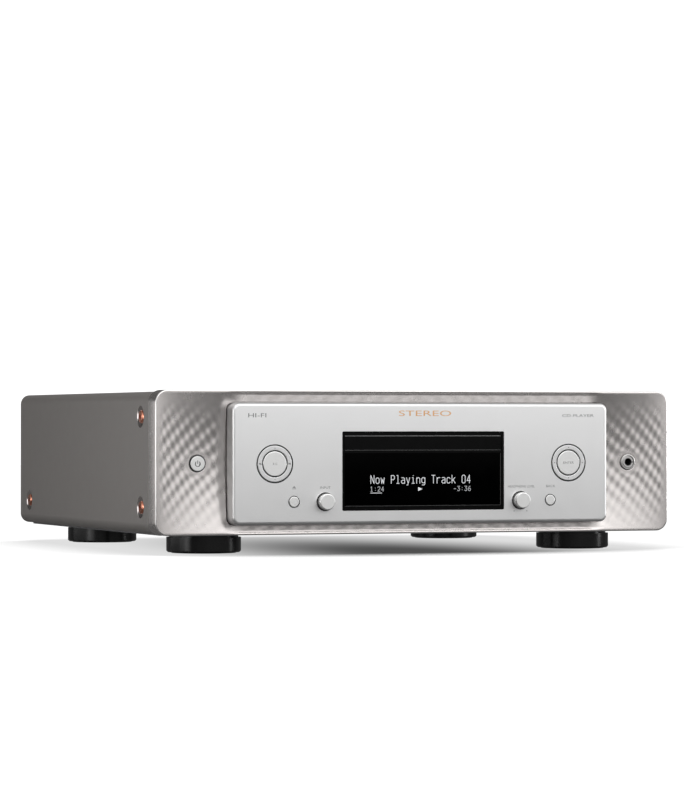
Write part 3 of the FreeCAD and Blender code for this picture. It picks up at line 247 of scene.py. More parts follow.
def plated_sheet(name, colour, roughness, grain_axis=(1, 1, 1)):
    """Rolled and plated sheet: a drawn grain with soft stains."""
    finish = Finish(name, colour, metallic=1.0, roughness=roughness)
    finish.tint(finish.noise(30.0, detail=4.0), shade(colour, 0.8))
    finish.rough(finish.noise(0.3, stretch=grain_axis), -0.06, 0.08)
    finish.bump(finish.noise(0.25, stretch=grain_axis), 0.002)
    return finish.material


def powder_coat(name, colour, roughness):
    """Powder coat with a leathery texture."""
    finish = Finish(name, colour, roughness=roughness)
    finish.tint(finish.noise(1.0), shade(colour, 1.25))
    finish.rough(finish.noise(3.0), -0.05, 0.05)
    finish.bump(finish.noise(0.7, detail=3.0), 0.03)
    return finish.material


def circuit_board(name, colour, fades=()):
    """Solder mask over copper tracks; a fade darkens the parts that stand on the board."""
    finish = Finish(name, colour, roughness=0.35, coat=0.3)
    pattern = {
        "Scale": 1.0 / (26.0 * MM), "Color1": (*colour, 1.0), "Color2": (*shade(colour, 1.25), 1.0),
        "Mortar": (*shade(colour, 0.6), 1.0), "Mortar Size": 0.03, "Vector": finish.coordinates,
    }
    bricks = finish.node("TexBrick", pattern)
    finish.link(bricks.outputs["Color"], finish.shader.inputs["Base Color"])
    for band in fades:
        finish.fade(*band)
    finish.bump(finish.noise(2.0), 0.02)
    return finish.material


def striped(name, colour, other, size, roughness):
    """Straight bands of two colours, as of sleeves, tape and ribbon."""
    finish = Finish(name, colour, roughness=roughness)
    finish.tint(finish.stripes(size), other)
    finish.rough(finish.noise(2.0), -0.05, 0.05)
    finish.bump(finish.stripes(size), 0.08)
    return finish.material


def screen_ink(name, colour, roughness=0.6, metallic=0.0):
    """Silk-screened ink with a slightly uneven film."""
    finish = Finish(name, colour, metallic=metallic, roughness=roughness)
    finish.tint(finish.noise(0.5), shade(colour, 1.2))
    finish.rough(finish.noise(0.3), -0.05, 0.05)
    return finish.material


def lit_display(name, colour, strength):
    """Display characters made of fine picture elements."""
    finish = Finish(name, (0.02, 0.02, 0.02), roughness=0.5)
    finish.glow(colour, strength)
    finish.tint(finish.stripes(0.3), (0.05, 0.05, 0.05))
    finish.rough(finish.stripes(0.3, "Z"), -0.1, 0.1)
    return finish.material


# Painted light and shade on the panel: lighter towards the top, darker on its top rounding and on its left
# and right rounded edges and walls.
PANEL_PAINTED_LIGHT_AND_SHADE = (
    ("Z", 24.0, 118.0, 0.95, 1.14), ("Z", 117.8, 119.6, 1.0, 0.45),
    ("X", -161.0, -159.4, 0.74, 1.0), ("X", 159.2, 161.0, 1.0, 0.6),
)
LACQUER = (0.68, 0.645, 0.63)
# The cover's lacquer is darker than the front's champagne lacquer: painted shade on the sides and top of the
# case.
COVER_SHADED_COLOUR = (0.30, 0.282, 0.271)
ALUMINIUM = (0.80, 0.80, 0.80)
CONTROL = (0.84, 0.84, 0.84)
TURNED_COLOUR = (0.95, 0.95, 0.94)
SOCKET_COLOUR = (0.62, 0.61, 0.60)
TURNED_ROUGHNESS = 0.33
# Lighter than the lacquer: a polished edge, and also a painted highlight along the rim of the baffle.
EDGE_AND_HIGHLIGHT_COLOUR = (0.80, 0.78, 0.77)
CHARACTER_LIGHT = (0.95, 0.97, 1.0)
BOARD_COLOUR = (0.02, 0.10, 0.05)
BOARD_FADES = (("Z", 29.65, 29.75, 1.0, 0.12),)

MATERIALS = {
    "champagne_paint": painted_metal("champagne lacquer", LACQUER, 0.26, 0.9),
    "cover_paint": painted_metal("cover lacquer with painted shade", COVER_SHADED_COLOUR, 0.45, 0.5),
    "panel_aluminium": blasted_aluminium("panel aluminium", ALUMINIUM, 0.42, PANEL_PAINTED_LIGHT_AND_SHADE),
    "control_aluminium": blasted_aluminium("control aluminium", CONTROL, 0.36),
    "gloss_black": polished_black("gloss black", (0.002, 0.002, 0.002), 0.12, 0.0, 0.08),
    "display_glass": polished_black("smoked glass", (0.0, 0.0, 0.0), 0.04, 0.0, 0.03),
    "display_parts": moulded_plastic("display parts", (0.02, 0.021, 0.022), 0.5),
    "black_plastic": moulded_plastic("black plastic", (0.018, 0.018, 0.018), 0.45),
    "loader_plastic": moulded_plastic("loader plastic", (0.03, 0.03, 0.032), 0.4, grain=0.7),
    "white_plastic": moulded_plastic("acetal plastic", (0.72, 0.71, 0.66), 0.35),
    "foot_black": polished_black("foot black", (0.003, 0.003, 0.003), 0.16, 0.0, 0.42),
    "pad_rubber": soft_rubber("pad rubber", (0.03, 0.03, 0.03)),
    "belt_rubber": soft_rubber("belt rubber", (0.015, 0.015, 0.015)),
    "damper_rubber": soft_rubber("damper rubber", (0.05, 0.02, 0.02)),
    "copper_screw": plated_sheet("copper plated screw", (0.78, 0.33, 0.22), 0.24),
    "black_screw": plated_sheet("black oxide screw", (0.05, 0.05, 0.055), 0.35),
    "copper_plate": plated_sheet("copper plated steel", (0.80, 0.42, 0.27), 0.3, (1, 30, 1)),
    "base_steel": plated_sheet("zinc plated steel", (0.32, 0.32, 0.33), 0.42, (40, 1, 1)),
    "rear_paint": powder_coat("rear powder coat", (0.022, 0.022, 0.023), 0.5),
    "steel": plated_sheet("bright steel", (0.56, 0.57, 0.58), 0.28, (1, 1, 20)),
    "gold_plate": plated_sheet("gold plate", (0.95, 0.68, 0.30), 0.18, (1, 12, 1)),
    "board_green": circuit_board("circuit board", BOARD_COLOUR),
    "capacitor_sleeve": striped("capacitor sleeve", (0.03, 0.03, 0.05), (0.45, 0.36, 0.16), 9.0, 0.35),
    "winding_tape": striped("winding tape", (0.30, 0.24, 0.08), (0.52, 0.42, 0.15), 4.0, 0.4),
    "cable_grey": striped("ribbon cable", (0.42, 0.43, 0.44), (0.25, 0.25, 0.26), 1.27, 0.5),
    "lens_glass": polished_black("pickup lens", (0.03, 0.05, 0.10), 0.03, 1.0),
}

INK_GREY = screen_ink("grey ink", (0.20, 0.20, 0.20))
INK_FAINT = screen_ink("faint ink", (0.42, 0.42, 0.42))
INK_DARK = screen_ink("dark ink", (0.09, 0.09, 0.09))
INK_GOLD = screen_ink("gold ink", (0.72, 0.42, 0.20), 0.35, 0.6)
INK_WHITE = screen_ink("white ink", (0.72, 0.72, 0.70))
POLISHED_CUP = plated_sheet("polished cup", (0.92, 0.84, 0.82), 0.16)
POLISHED_EDGE_AND_HIGHLIGHT = painted_metal("polished edge and painted highlight", EDGE_AND_HIGHLIGHT_COLOUR, 0.3, 0.9)
# Grey inks for painted highlights along the bevels of the tray door and the display.
HIGHLIGHT_INK_BRIGHT = screen_ink("painted bright highlight", (0.17, 0.17, 0.17))
HIGHLIGHT_INK_DIM = screen_ink("painted dim highlight", (0.05, 0.05, 0.05))
COLLAR_RED = moulded_plastic("red collar", (0.50, 0.02, 0.02), 0.35)
COLLAR_WHITE = moulded_plastic("white collar", (0.75, 0.75, 0.72), 0.35)
COLLAR_ORANGE = moulded_plastic("orange collar", (0.70, 0.20, 0.03), 0.35)
CHARACTERS = lit_display("display characters", CHARACTER_LIGHT, 0.74)
CHARACTERS_DIM = lit_display("dim display characters", CHARACTER_LIGHT, 0.40)

TURNED = (
    "play_button", "enter_button", "eject_button", "back_button", "power_button", "input_knob", "level_knob",
    "headphone_jack",
)
LOADED_BOARDS = ("main_board", "audio_board", "power_board")
LOADED = circuit_board("loaded board", BOARD_COLOUR, BOARD_FADES)


def node_finish(name, slot):
    """The finish of one slot of a CAD node; turned parts get rings round their own axis."""
    if name in LOADED_BOARDS:
        return LOADED
    if name in TURNED:
        tone = SOCKET_COLOUR if name == "headphone_jack" else TURNED_COLOUR
        return turned_aluminium("turned " + name, tone, node_centre(name), TURNED_ROUGHNESS)
    return MATERIALS[slot]


for name, node in NODES.items():
    for index, imported in enumerate(node.data.materials):
        node.data.materials[index] = node_finish(name, imported.name)


# ---- making pieces ----
def add_piece(name, vertices, faces, material, body, smooth_angle=None):
    """A mesh piece from vertices in millimetres that rides on a body."""
    mesh = bpy.data.meshes.new(name)
    mesh.from_pydata([Vector(v) * MM for v in vertices], [], faces)
    mesh.validate()
    return add_mesh(name, mesh, material, body, smooth_angle)


def add_mesh(name, mesh, material, body, smooth_angle=None):
    """Make a piece of a mesh that is already in metres."""
    if smooth_angle is not None:
        mesh.shade_smooth()
        mesh.set_sharp_from_angle(angle=math.radians(smooth_angle))
    mesh.materials.clear()
    mesh.materials.append(material)
    piece = bpy.data.objects.new(name, mesh)
    bpy.context.scene.collection.objects.link(piece)
    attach(piece, body)
    return piece


def turned_piece(name, at, section, material, body, segments, smooth_angle):
    """A ring round an axis along Y through at; section is its closed outline of (radius, y)."""
    count = len(section)
    vertices = []
    faces = []
    for k in range(segments):
        turn = math.tau * k / segments
        vertices += [(at[0] + r * math.cos(turn), y, at[2] + r * math.sin(turn)) for r, y in section]
        a, b = count * k, count * ((k + 1) % segments)
        faces += [(a + i, a + (i + 1) % count, b + (i + 1) % count, b + i) for i in range(count)]
    add_piece(name, vertices, faces, material, body, smooth_angle)


# ---- the sculpted baffle ----
BAFFLE_LOW, BAFFLE_HIGH = node_box("front_baffle")
PANEL_LOW, PANEL_HIGH = node_box("front_panel")
HALF_W = BAFFLE_HIGH[0]
BOTTOM, TOP = BAFFLE_LOW[2], BAFFLE_HIGH[2]
RIM_Y, BACK_Y = BAFFLE_LOW[1], BAFFLE_HIGH[1]
CORNER_R = 10.0
EDGE_R = 0.9
EDGE_SKIN = 0.02
RIM_W = 2.0
PANEL_GAP = 1.0
POCKET_HALF_W = PANEL_HIGH[0] + PANEL_GAP
POCKET_Z = (PANEL_LOW[2] - PANEL_GAP, PANEL_HIGH[2] + PANEL_GAP)
POCKET_R = 6.0
POCKET_DEPTH = 5.5
POCKET_STEP = 3.7
HOLLOW_DEPTH = 8.0
WALL = 3.5
DISH = 4.3
DISH_ROUNDNESS = 0.75      # 1 is a straight slope from the rim to the panel
COVE_DEPTH = 1.1           # the face turns down beside the panel
COVE_W = 9.0
STRIP_DEPTH = 0.6          # of the nearly flat strips above and below the panel
STRIP_BLEND = (-12.0, 3.0)

WAVE_HEIGHT = 0.078
WAVE_PERIOD = 12.67        # between two bumps of one column
WAVE_SHIFT = 0.342         # a column is this part of the period lower than the one nearer the panel
CROSS_WAVE = 0.6
COLUMN_W = 5.2             # beside the panel
COLUMN_SHRINK = 0.033      # per millimetre further out

POWER_AT = node_centre("power_button")
JACK_AT = node_centre("headphone_jack")
POWER_HOLE_R = 6.6
JACK_HOLE_R = 6.5
SMOOTH_PATCH = (8.0, 13.0)


def ease(value, low, high):
    """0 below low, 1 above high and a smooth step between."""
    t = np.clip((value - low) / (high - low), 0.0, 1.0)
    return t * t * (3.0 - 2.0 * t)


def rim_distance(x, z):
    """How far a point of the face is inside the rounded outline of the baffle."""
    qx = np.abs(x) - (HALF_W - CORNER_R)
    qz = np.abs(z - (BOTTOM + TOP) / 2) - ((TOP - BOTTOM) / 2 - CORNER_R)
    outside = np.hypot(np.maximum(qx, 0), np.maximum(qz, 0))
    return CORNER_R - outside - np.minimum(np.maximum(qx, qz), 0)


def wave(x, z):
    """Rows of soft diamonds that lean away from the panel and narrow towards the rim."""
    out = np.abs(x) - POCKET_HALF_W
    shrunk = np.clip(1.0 - COLUMN_SHRINK * out / COLUMN_W, 0.2, None)
    column = np.where(out > 0, -np.log(shrunk) / COLUMN_SHRINK, out / COLUMN_W)
    along = math.tau * (z / WAVE_PERIOD + WAVE_SHIFT * column)
    across = math.tau * (z / WAVE_PERIOD - (1.0 - WAVE_SHIFT) * column)
    relief = np.cos(along) + CROSS_WAVE * np.cos(across)
    strength = ease(rim_distance(x, z), 1.0, 8.0)
    strength = strength * ease(TOP - z, 2.0, 36.0) * (0.35 + 0.65 * ease(z - BOTTOM, 10.0, 40.0))
    strength = strength + 0.17 * ease(-out, 0.0, 12.0) * ease(rim_distance(x, z), 1.5, 5.0)
    for at in (POWER_AT, JACK_AT):
        strength = strength * ease(np.hypot(x - at[0], z - at[2]), *SMOOTH_PATCH)
    return WAVE_HEIGHT * strength * relief


def face_depth(x, z):
    """Depth of the baffle's face behind its rim: rounded edge, flat rim, dish and waves."""
    x = np.asarray(x, float)
    z = np.asarray(z, float)
    inside = rim_distance(x, z)
    rounding = EDGE_R - np.sqrt(np.clip(EDGE_R ** 2 - np.clip(EDGE_R - inside, 0, EDGE_R) ** 2, 0, None))
    across = np.clip((HALF_W - RIM_W - np.abs(x)) / (HALF_W - RIM_W - PANEL_HIGH[0]), 0.0, 1.0)
    across = across ** DISH_ROUNDNESS
    middle = (BOTTOM + TOP) / 2
    reach = (TOP - BOTTOM) / 2 - RIM_W
    upright = np.clip(1.0 - ((z - middle) / reach) ** 2, 0.0, 1.0)
    dish = DISH * across * upright
    beside = ease(np.abs(x) - PANEL_HIGH[0], STRIP_BLEND[0], STRIP_BLEND[1])
    strip = STRIP_DEPTH * ease(inside, EDGE_R, RIM_W + 1.5)
    cove = COVE_DEPTH * upright * np.clip(1.0 - (np.abs(x) - POCKET_HALF_W) / COVE_W, 0.0, 1.0) ** 2
    dish = (dish + cove) * beside + strip * (1.0 - beside)
    return rounding + dish + wave(x, z) * ease(dish, 0.0, 0.5)


def spaced(start, end, count, near_start=False, near_end=False):
    """count + 1 values from start to end, closer together near the named end."""
    t = np.linspace(0.0, 1.0, count + 1)
    if near_start:
        t = 1.0 - np.cos(math.pi * t / 2)
    elif near_end:
        t = np.sin(math.pi * t / 2)
    return start + (end - start) * t


def inset(distance, r):
    """How far a rounded corner of radius r pulls a row in, at a distance from the flat side."""
    d = np.clip(r - distance, 0.0, r)
    return r - np.sqrt(r * r - d * d)


def drawn_in(point, half_w, z, r, amount):
    """A point of a rounded outline moved inwards, square to the outline."""
    cx = min(max(point[0], -(half_w - r)), half_w - r)
    cz = min(max(point[1], z[0] + r), z[1] - r)
    return (point[0] + (cx - point[0]) * amount / r, point[1] + (cz - point[1]) * amount / r)


class BaffleBuilder:
    """Collects the vertices and faces of the baffle."""

    def __init__(self):
        self.vertices = []
        self.faces = []

    def vertex(self, x, y, z):
        self.vertices.append((x, RIM_Y + y, z))
        return len(self.vertices) - 1

    def surface(self, xs, zs):
        """Vertices on the sculpted face."""
        depth = face_depth(np.array(xs), np.array(zs))
        return [self.vertex(x, y, z) for x, y, z in zip(xs, depth, zs)]

    def skin(self, a, b):
        """A closed strip of faces between two rows of vertices."""
        count = len(a)
        for i in range(count):
            j = (i + 1) % count
            self.faces.append((a[i], a[j], b[j], b[i]))

    def wing(self, side, rows, pocket_rows):
        """The grid beside the panel; gives its vertex indices by row, from the rim inwards."""
        edge_steps = [0.0, 0.12, 0.3, 0.55, 0.9, 1.4]
        full = HALF_W - (POCKET_HALF_W - POCKET_R)
        shares = np.concatenate([np.array(edge_steps) / full, np.linspace(2.0 / full, 1.0, 108)])
        grid = []
        for z in rows:
            rim_x = HALF_W - inset(min(z - BOTTOM, TOP - z), CORNER_R)
            inner_x = POCKET_HALF_W - POCKET_R
            if pocket_rows[0] <= z <= pocket_rows[1]:
                inner_x = POCKET_HALF_W - inset(min(z - pocket_rows[0], pocket_rows[1] - z), POCKET_R)
            xs = side * (rim_x + (inner_x - rim_x) * shares)
            grid.append(self.surface(xs, [z] * len(xs)))
        return np.array(grid)

    def grid_faces(self, grid, skip=None):
        rows, columns = grid.shape
        for r in range(rows - 1):
            for c in range(columns - 1):
                if skip and skip[0] <= r < skip[1] and skip[2] <= c < skip[3]:
                    continue
                self.faces.append((grid[r, c], grid[r, c + 1], grid[r + 1, c + 1], grid[r + 1, c]))

    def hole(self, grid, at, r):
        """A round hole with a softened lip, joined to the grid by rings; gives the grid cells left out."""
        place = np.array([[self.vertices[i] for i in row] for row in grid])
        reach = r + 3.6
        near_row = np.abs(place[:, 60, 2] - at[2]) < reach
        row0, row1 = np.flatnonzero(near_row)[[0, -1]]
        near_column = np.abs(place[(row0 + row1) // 2, :, 0] - at[0]) < reach
        column0, column1 = np.flatnonzero(near_column)[[0, -1]]
        outline = [grid[row0, c] for c in range(column0, column1)]
        outline += [grid[i, column1] for i in range(row0, row1)]
        outline += [grid[row1, c] for c in range(column1, column0, -1)]
        outline += [grid[i, column0] for i in range(row1, row0, -1)]
        points = np.array([self.vertices[i] for i in outline])
        angle = np.arctan2(points[:, 2] - at[2], points[:, 0] - at[0])
        lip = 0.35
        circle_x = at[0] + (r + lip) * np.cos(angle)
        circle_z = at[2] + (r + lip) * np.sin(angle)
        previous = outline
        rings = 8
        for k in range(1, rings + 1):
            t = k / rings
            xs = points[:, 0] * (1 - t) + circle_x * t
            zs = points[:, 2] * (1 - t) + circle_z * t
            ring = self.surface(xs, zs)
            self.skin(previous, ring)
            previous = ring
        depth = np.array([self.vertices[i][1] - RIM_Y for i in previous])
        circles = []
        for k in range(1, 4):
            turn = math.pi / 2 * k / 3
            circles.append((r + lip * (1 - math.sin(turn)), depth + lip * (1 - math.cos(turn))))
        circles.append((r, np.full(len(depth), HOLLOW_DEPTH)))
        for radius, level in circles:
            xs, zs = at[0] + radius * np.cos(angle), at[2] + radius * np.sin(angle)
            ring = [self.vertex(x, y, z) for x, y, z in zip(xs, level, zs)]
            self.skin(previous, ring)
            previous = ring
        return (row0, row1, column0, column1)

    def walls(self, loop, half_w, z, r, steps):
        """Carry a loop along steps of (inset, depth)."""
        start = [(self.vertices[i][0], self.vertices[i][2]) for i in loop]
        previous = loop
        for amount, depth in steps:
            moved = [drawn_in(p, half_w, z, r, amount) if amount else p for p in start]
            ring = [self.vertex(x, depth, pz) for x, pz in moved]
            self.skin(previous, ring)
            previous = ring


def build_baffle():
    builder = BaffleBuilder()
    z0, z1 = POCKET_Z
    rows = np.concatenate([
        spaced(BOTTOM, z0, 16, near_start=True)[:-1],
        spaced(z0, z0 + POCKET_R, 12, near_start=True)[:-1],
        spaced(z0 + POCKET_R, z1 - POCKET_R, 150)[:-1],
        spaced(z1 - POCKET_R, z1, 12, near_end=True)[:-1],
        spaced(z1, TOP, 18, near_end=True),
    ])
    low_row = 16
    high_row = len(rows) - 19
    grids = {side: builder.wing(side, rows, (rows[low_row], rows[high_row])) for side in (-1, 1)}
    skips = {
        -1: builder.hole(grids[-1], POWER_AT, POWER_HOLE_R),
        1: builder.hole(grids[1], JACK_AT, JACK_HOLE_R),
    }
    for side, grid in grids.items():
        builder.grid_faces(grid, skips[side])
    strip_x = spaced(-(POCKET_HALF_W - POCKET_R), POCKET_HALF_W - POCKET_R, 250)[1:-1]
    strips = {}
    for key, row_range in (("low", range(low_row + 1)), ("high", range(high_row, len(rows)))):
        strip = []
        for row in row_range:
            middle = builder.surface(strip_x, [rows[row]] * len(strip_x))
            strip.append([grids[-1][row, -1]] + middle + [grids[1][row, -1]])
        strips[key] = np.array(strip)
        builder.grid_faces(strips[key])
    outer = list(grids[-1][0, :-1]) + list(strips["low"][0]) + list(grids[1][0, -2::-1])
    outer += list(grids[1][1:, 0])
    outer += list(grids[1][-1, 1:-1]) + list(strips["high"][-1][::-1]) + list(grids[-1][-1, -2:0:-1])
    outer += list(grids[-1][:0:-1, 0])
    steps = [(0.0, BACK_Y - RIM_Y - 0.5), (0.5, BACK_Y - RIM_Y), (WALL, BACK_Y - RIM_Y), (WALL, HOLLOW_DEPTH)]
    builder.walls(outer, HALF_W, (BOTTOM, TOP), CORNER_R, steps)
    pocket = list(strips["low"][-1]) + list(grids[1][low_row + 1:high_row, -1])
    pocket += list(strips["high"][0][::-1]) + list(grids[-1][high_row - 1:low_row:-1, -1])
    steps = [(0.0, POCKET_DEPTH), (POCKET_STEP, POCKET_DEPTH), (POCKET_STEP, HOLLOW_DEPTH)]
    builder.walls(pocket, POCKET_HALF_W, POCKET_Z, POCKET_R, steps)
    return builder


def make_baffle():
    builder = build_baffle()
    mesh = bpy.data.meshes.new("baffle")
    vertices = [Vector(v) * MM for v in builder.vertices]
    mesh.from_pydata(vertices, [], [tuple(map(int, f)) for f in builder.faces])
    shape = bmesh.new()
    shape.from_mesh(mesh)
    open_edges = [edge for edge in shape.edges if edge.is_boundary]
    bmesh.ops.triangle_fill(shape, edges=open_edges, use_beauty=True)
    bmesh.ops.recalc_face_normals(shape, faces=shape.faces)
    shape.to_mesh(mesh)
    shape.free()
    piece = add_mesh("baffle", mesh, MATERIALS["champagne_paint"], "casing", 40)
    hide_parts("front_baffle")


def make_baffle_edge():
    """A lighter metal line along the front edge, lying on the rounding of the baffle: a polished edge, and
    also a painted highlight along the rim.
    """
    sections = []
    skin_r = EDGE_R + EDGE_SKIN
    for k in range(7):
        turn = math.radians(10.0 + 12.5 * k)
        sections.append((EDGE_R - skin_r * math.sin(turn), EDGE_R - skin_r * math.cos(turn)))
    corners = []
    for cx, cz, start in ((1, 1, 0), (-1, 1, 90), (-1, -1, 180), (1, -1, 270)):
        for k in range(13):
            turn = math.radians(start + 7.5 * k)
            middle_z = (BOTTOM + TOP) / 2 + cz * ((TOP - BOTTOM) / 2 - CORNER_R)
            middle = (cx * (HALF_W - CORNER_R), middle_z)
            corners.append((middle, math.cos(turn), math.sin(turn)))
    vertices = []
    for (mx, mz), dx, dz in corners:
        for amount, depth in sections:
            r = CORNER_R - amount
            vertices.append((mx + r * dx, RIM_Y + depth, mz + r * dz))
    rows, count = len(corners), len(sections)
    faces = []
    for a in range(rows):
        b = (a + 1) % rows
        for i in range(count - 1):
            faces.append((a * count + i, b * count + i, b * count + i + 1, a * count + i + 1))
    add_piece("baffle_edge", vertices, faces, POLISHED_EDGE_AND_HIGHLIGHT, "casing", 60)


make_baffle()
make_baffle_edge()


# ---- printing, icons and the display ----
FRONT = PANEL_LOW[1]
INK = 0.03                 # thickness of a printed film


def text_piece(name, words, centre, size, y, material, body="casing", rear=False):
    """Words as a thin film; size is the width and height of their outline, in millimetres."""
    curve = bpy.data.curves.new(name, "FONT")
    curve.body = words
    curve.resolution_u = 4
    curve.fill_mode = "FRONT"
    holder = bpy.data.objects.new(name, curve)
    bpy.context.scene.collection.objects.link(holder)
    bpy.context.view_layer.update()
    mesh = bpy.data.meshes.new_from_object(holder.evaluated_get(bpy.context.evaluated_depsgraph_get()))
    bpy.data.objects.remove(holder)
    flat = np.array([v.co[:2] for v in mesh.vertices])
    low, high = flat.min(0), flat.max(0)
    scale = np.array(size) / (high - low)
    placed = (flat - (low + high) / 2) * scale
    direction = -1 if rear else 1
    for vertex, (px, pz) in zip(mesh.vertices, placed):
        vertex.co = Vector((centre[0] + direction * px, y, centre[1] + pz)) * MM
    shape = bmesh.new()
    shape.from_mesh(mesh)
    return add_film(name, mesh, shape, direction, material, body)


def add_film(name, mesh, shape, direction, material, body):
    """Thicken a flat film outwards from the surface it is printed on and make a piece of it."""
    result = bmesh.ops.extrude_face_region(shape, geom=list(shape.faces))
    moved = [item for item in result["geom"] if isinstance(item, bmesh.types.BMVert)]
    bmesh.ops.translate(shape, verts=moved, vec=(0, -direction * INK * MM, 0))
    bmesh.ops.recalc_face_normals(shape, faces=shape.faces)
    shape.to_mesh(mesh)
    shape.free()
    return add_mesh(name, mesh, material, body)


def icon_piece(name, outlines, y, material, body="casing"):
    """Flat outlines of (x, z) points as thin printed films."""
    shape = bmesh.new()
    for outline in outlines:
        corners = [shape.verts.new(Vector((x, y, z)) * MM) for x, z in outline]
        shape.faces.new(corners)
    bmesh.ops.triangulate(shape, faces=shape.faces)
    return add_film(name, bpy.data.meshes.new(name), shape, 1, material, body)


def bar(x, z, w, h):
    return [(x - w / 2, z - h / 2), (x + w / 2, z - h / 2), (x + w / 2, z + h / 2), (x - w / 2, z + h / 2)]


def arrow(x, z, w, h, direction):
    """A triangle that points to direction, +1 for the right."""
    back, point = x - direction * w / 2, x + direction * w / 2
    return [(back, z - h / 2), (point, z), (back, z + h / 2)]


def arc(x, z, r, width, start, end, steps=24):
    """A bent band from the angle start to end, in degrees."""
    turns = [math.radians(start + (end - start) * k / steps) for k in range(steps + 1)]
    outer = [(x + (r + width / 2) * math.cos(a), z + (r + width / 2) * math.sin(a)) for a in turns]
    inner = [(x + (r - width / 2) * math.cos(a), z + (r - width / 2) * math.sin(a)) for a in turns]
    return outer + inner[::-1]


def dot(x, z, r):
    return [(x + r * math.cos(math.tau * k / 16), z + r * math.sin(math.tau * k / 16)) for k in range(16)]


RING_AT = node_centre("transport_ring")
NAV_AT = node_centre("nav_ring")
EJECT_AT = node_centre("eject_button")
BACK_AT = node_centre("back_button")
INPUT_AT = node_centre("input_knob")
LEVEL_AT = node_centre("level_knob")
LABEL_RISE = 11.2          # labels above the small controls
LEVEL_MARK_R = 10.3
LEVEL_MARK_TURNS = (math.radians(-57), math.radians(-123))
JACK_NOSE_BACK = 0.2       # of the socket's inner ring behind its outer ring
TITLE_Z = PANEL_HIGH[2] - 8.3


def print_front():
    text_piece("mark_stereo", "STEREO", (1.0, TITLE_Z), (45.0, 4.4), FRONT, INK_GOLD)
    text_piece("label_type", "CD PLAYER", (135.0, TITLE_Z - 1.7), (28.0, 2.2), FRONT, INK_GREY)
    text_piece("label_hifi", "HI-FI", (-141.0, TITLE_Z - 1.7), (15.0, 3.2), FRONT, INK_GREY)
    labels = (
        ("label_input", "INPUT", INPUT_AT, 0.0, 8.7),
        ("label_level", "HEADPHONE LEVEL", LEVEL_AT, 0.8, 23.5),
        ("label_back", "BACK", BACK_AT, 0.4, 8.0),
    )
    for name, words, at, shift, width in labels:
        text_piece(name, words, (at[0] + shift, at[2] + LABEL_RISE), (width, 1.9), FRONT, INK_GREY)
    x, z = EJECT_AT[0], EJECT_AT[2] + LABEL_RISE
    eject = [[(x - 1.5, z - 0.2), (x + 1.5, z - 0.2), (x, z + 1.3)], bar(x, z - 0.9, 3.0, 0.45)]
    icon_piece("icon_eject", eject, FRONT, INK_GREY)


def print_controls():
    ring_y = node_box("transport_ring")[0][1]
    button_y = node_box("play_button")[0][1]
    power_y = node_box("power_button")[0][1]
    x, z = RING_AT[0], RING_AT[2]
    out = 12.3
    skip = []
    for side in (-1, 1):
        middle = x + side * out
        skip += [arrow(middle + side * shift, z, 0.8, 1.5, side) for shift in (-0.65, 0.15)]
        skip.append(bar(middle + side * 0.75, z, 0.3, 1.5))
    icon_piece("icons_skip", skip, ring_y, INK_DARK, body="transport_ring")
    ends = [bar(x, z + out, 1.6, 0.3), bar(x, z - out, 1.6, 0.3)]
    icon_piece("icons_ring_ends", ends, ring_y, INK_GREY, body="transport_ring")
    play = [arrow(x - 0.9, z, 1.6, 2.2, 1), bar(x + 0.6, z, 0.4, 2.0), bar(x + 1.5, z, 0.4, 2.0)]
    icon_piece("icon_play", play, button_y, INK_FAINT, body="play_button")
    x, z = NAV_AT[0], NAV_AT[2]
    dots = [dot(x, z + out, 0.45), dot(x, z - out, 0.45), dot(x + out, z, 0.45), dot(x - out, z, 0.45)]
    icon_piece("icons_nav", dots, ring_y, INK_GREY, body="nav_ring")
    text_piece("label_enter", "ENTER", (x, z), (9.2, 1.8), button_y, INK_GREY, body="enter_button")
    x, z = POWER_AT[0], POWER_AT[2]
    power = [arc(x, z - 0.2, 2.1, 0.5, 125, 415), bar(x, z + 1.2, 0.5, 2.6)]
    icon_piece("icon_power", power, power_y, INK_DARK, body="power_button")
    x, z = LEVEL_AT[0], LEVEL_AT[2]
    reach = LEVEL_MARK_R
    marks = [dot(x + reach * math.cos(turn), z + reach * math.sin(turn), 0.4) for turn in LEVEL_MARK_TURNS]
    icon_piece("marks_level", marks, FRONT, INK_DARK)
    x, z = JACK_AT[0], JACK_AT[2]
    jack_y = node_box("headphone_jack")[0][1] + JACK_NOSE_BACK
    icon_piece("jack_notch", [bar(x + 3.9, z, 1.4, 0.9)], jack_y, MATERIALS["black_plastic"])


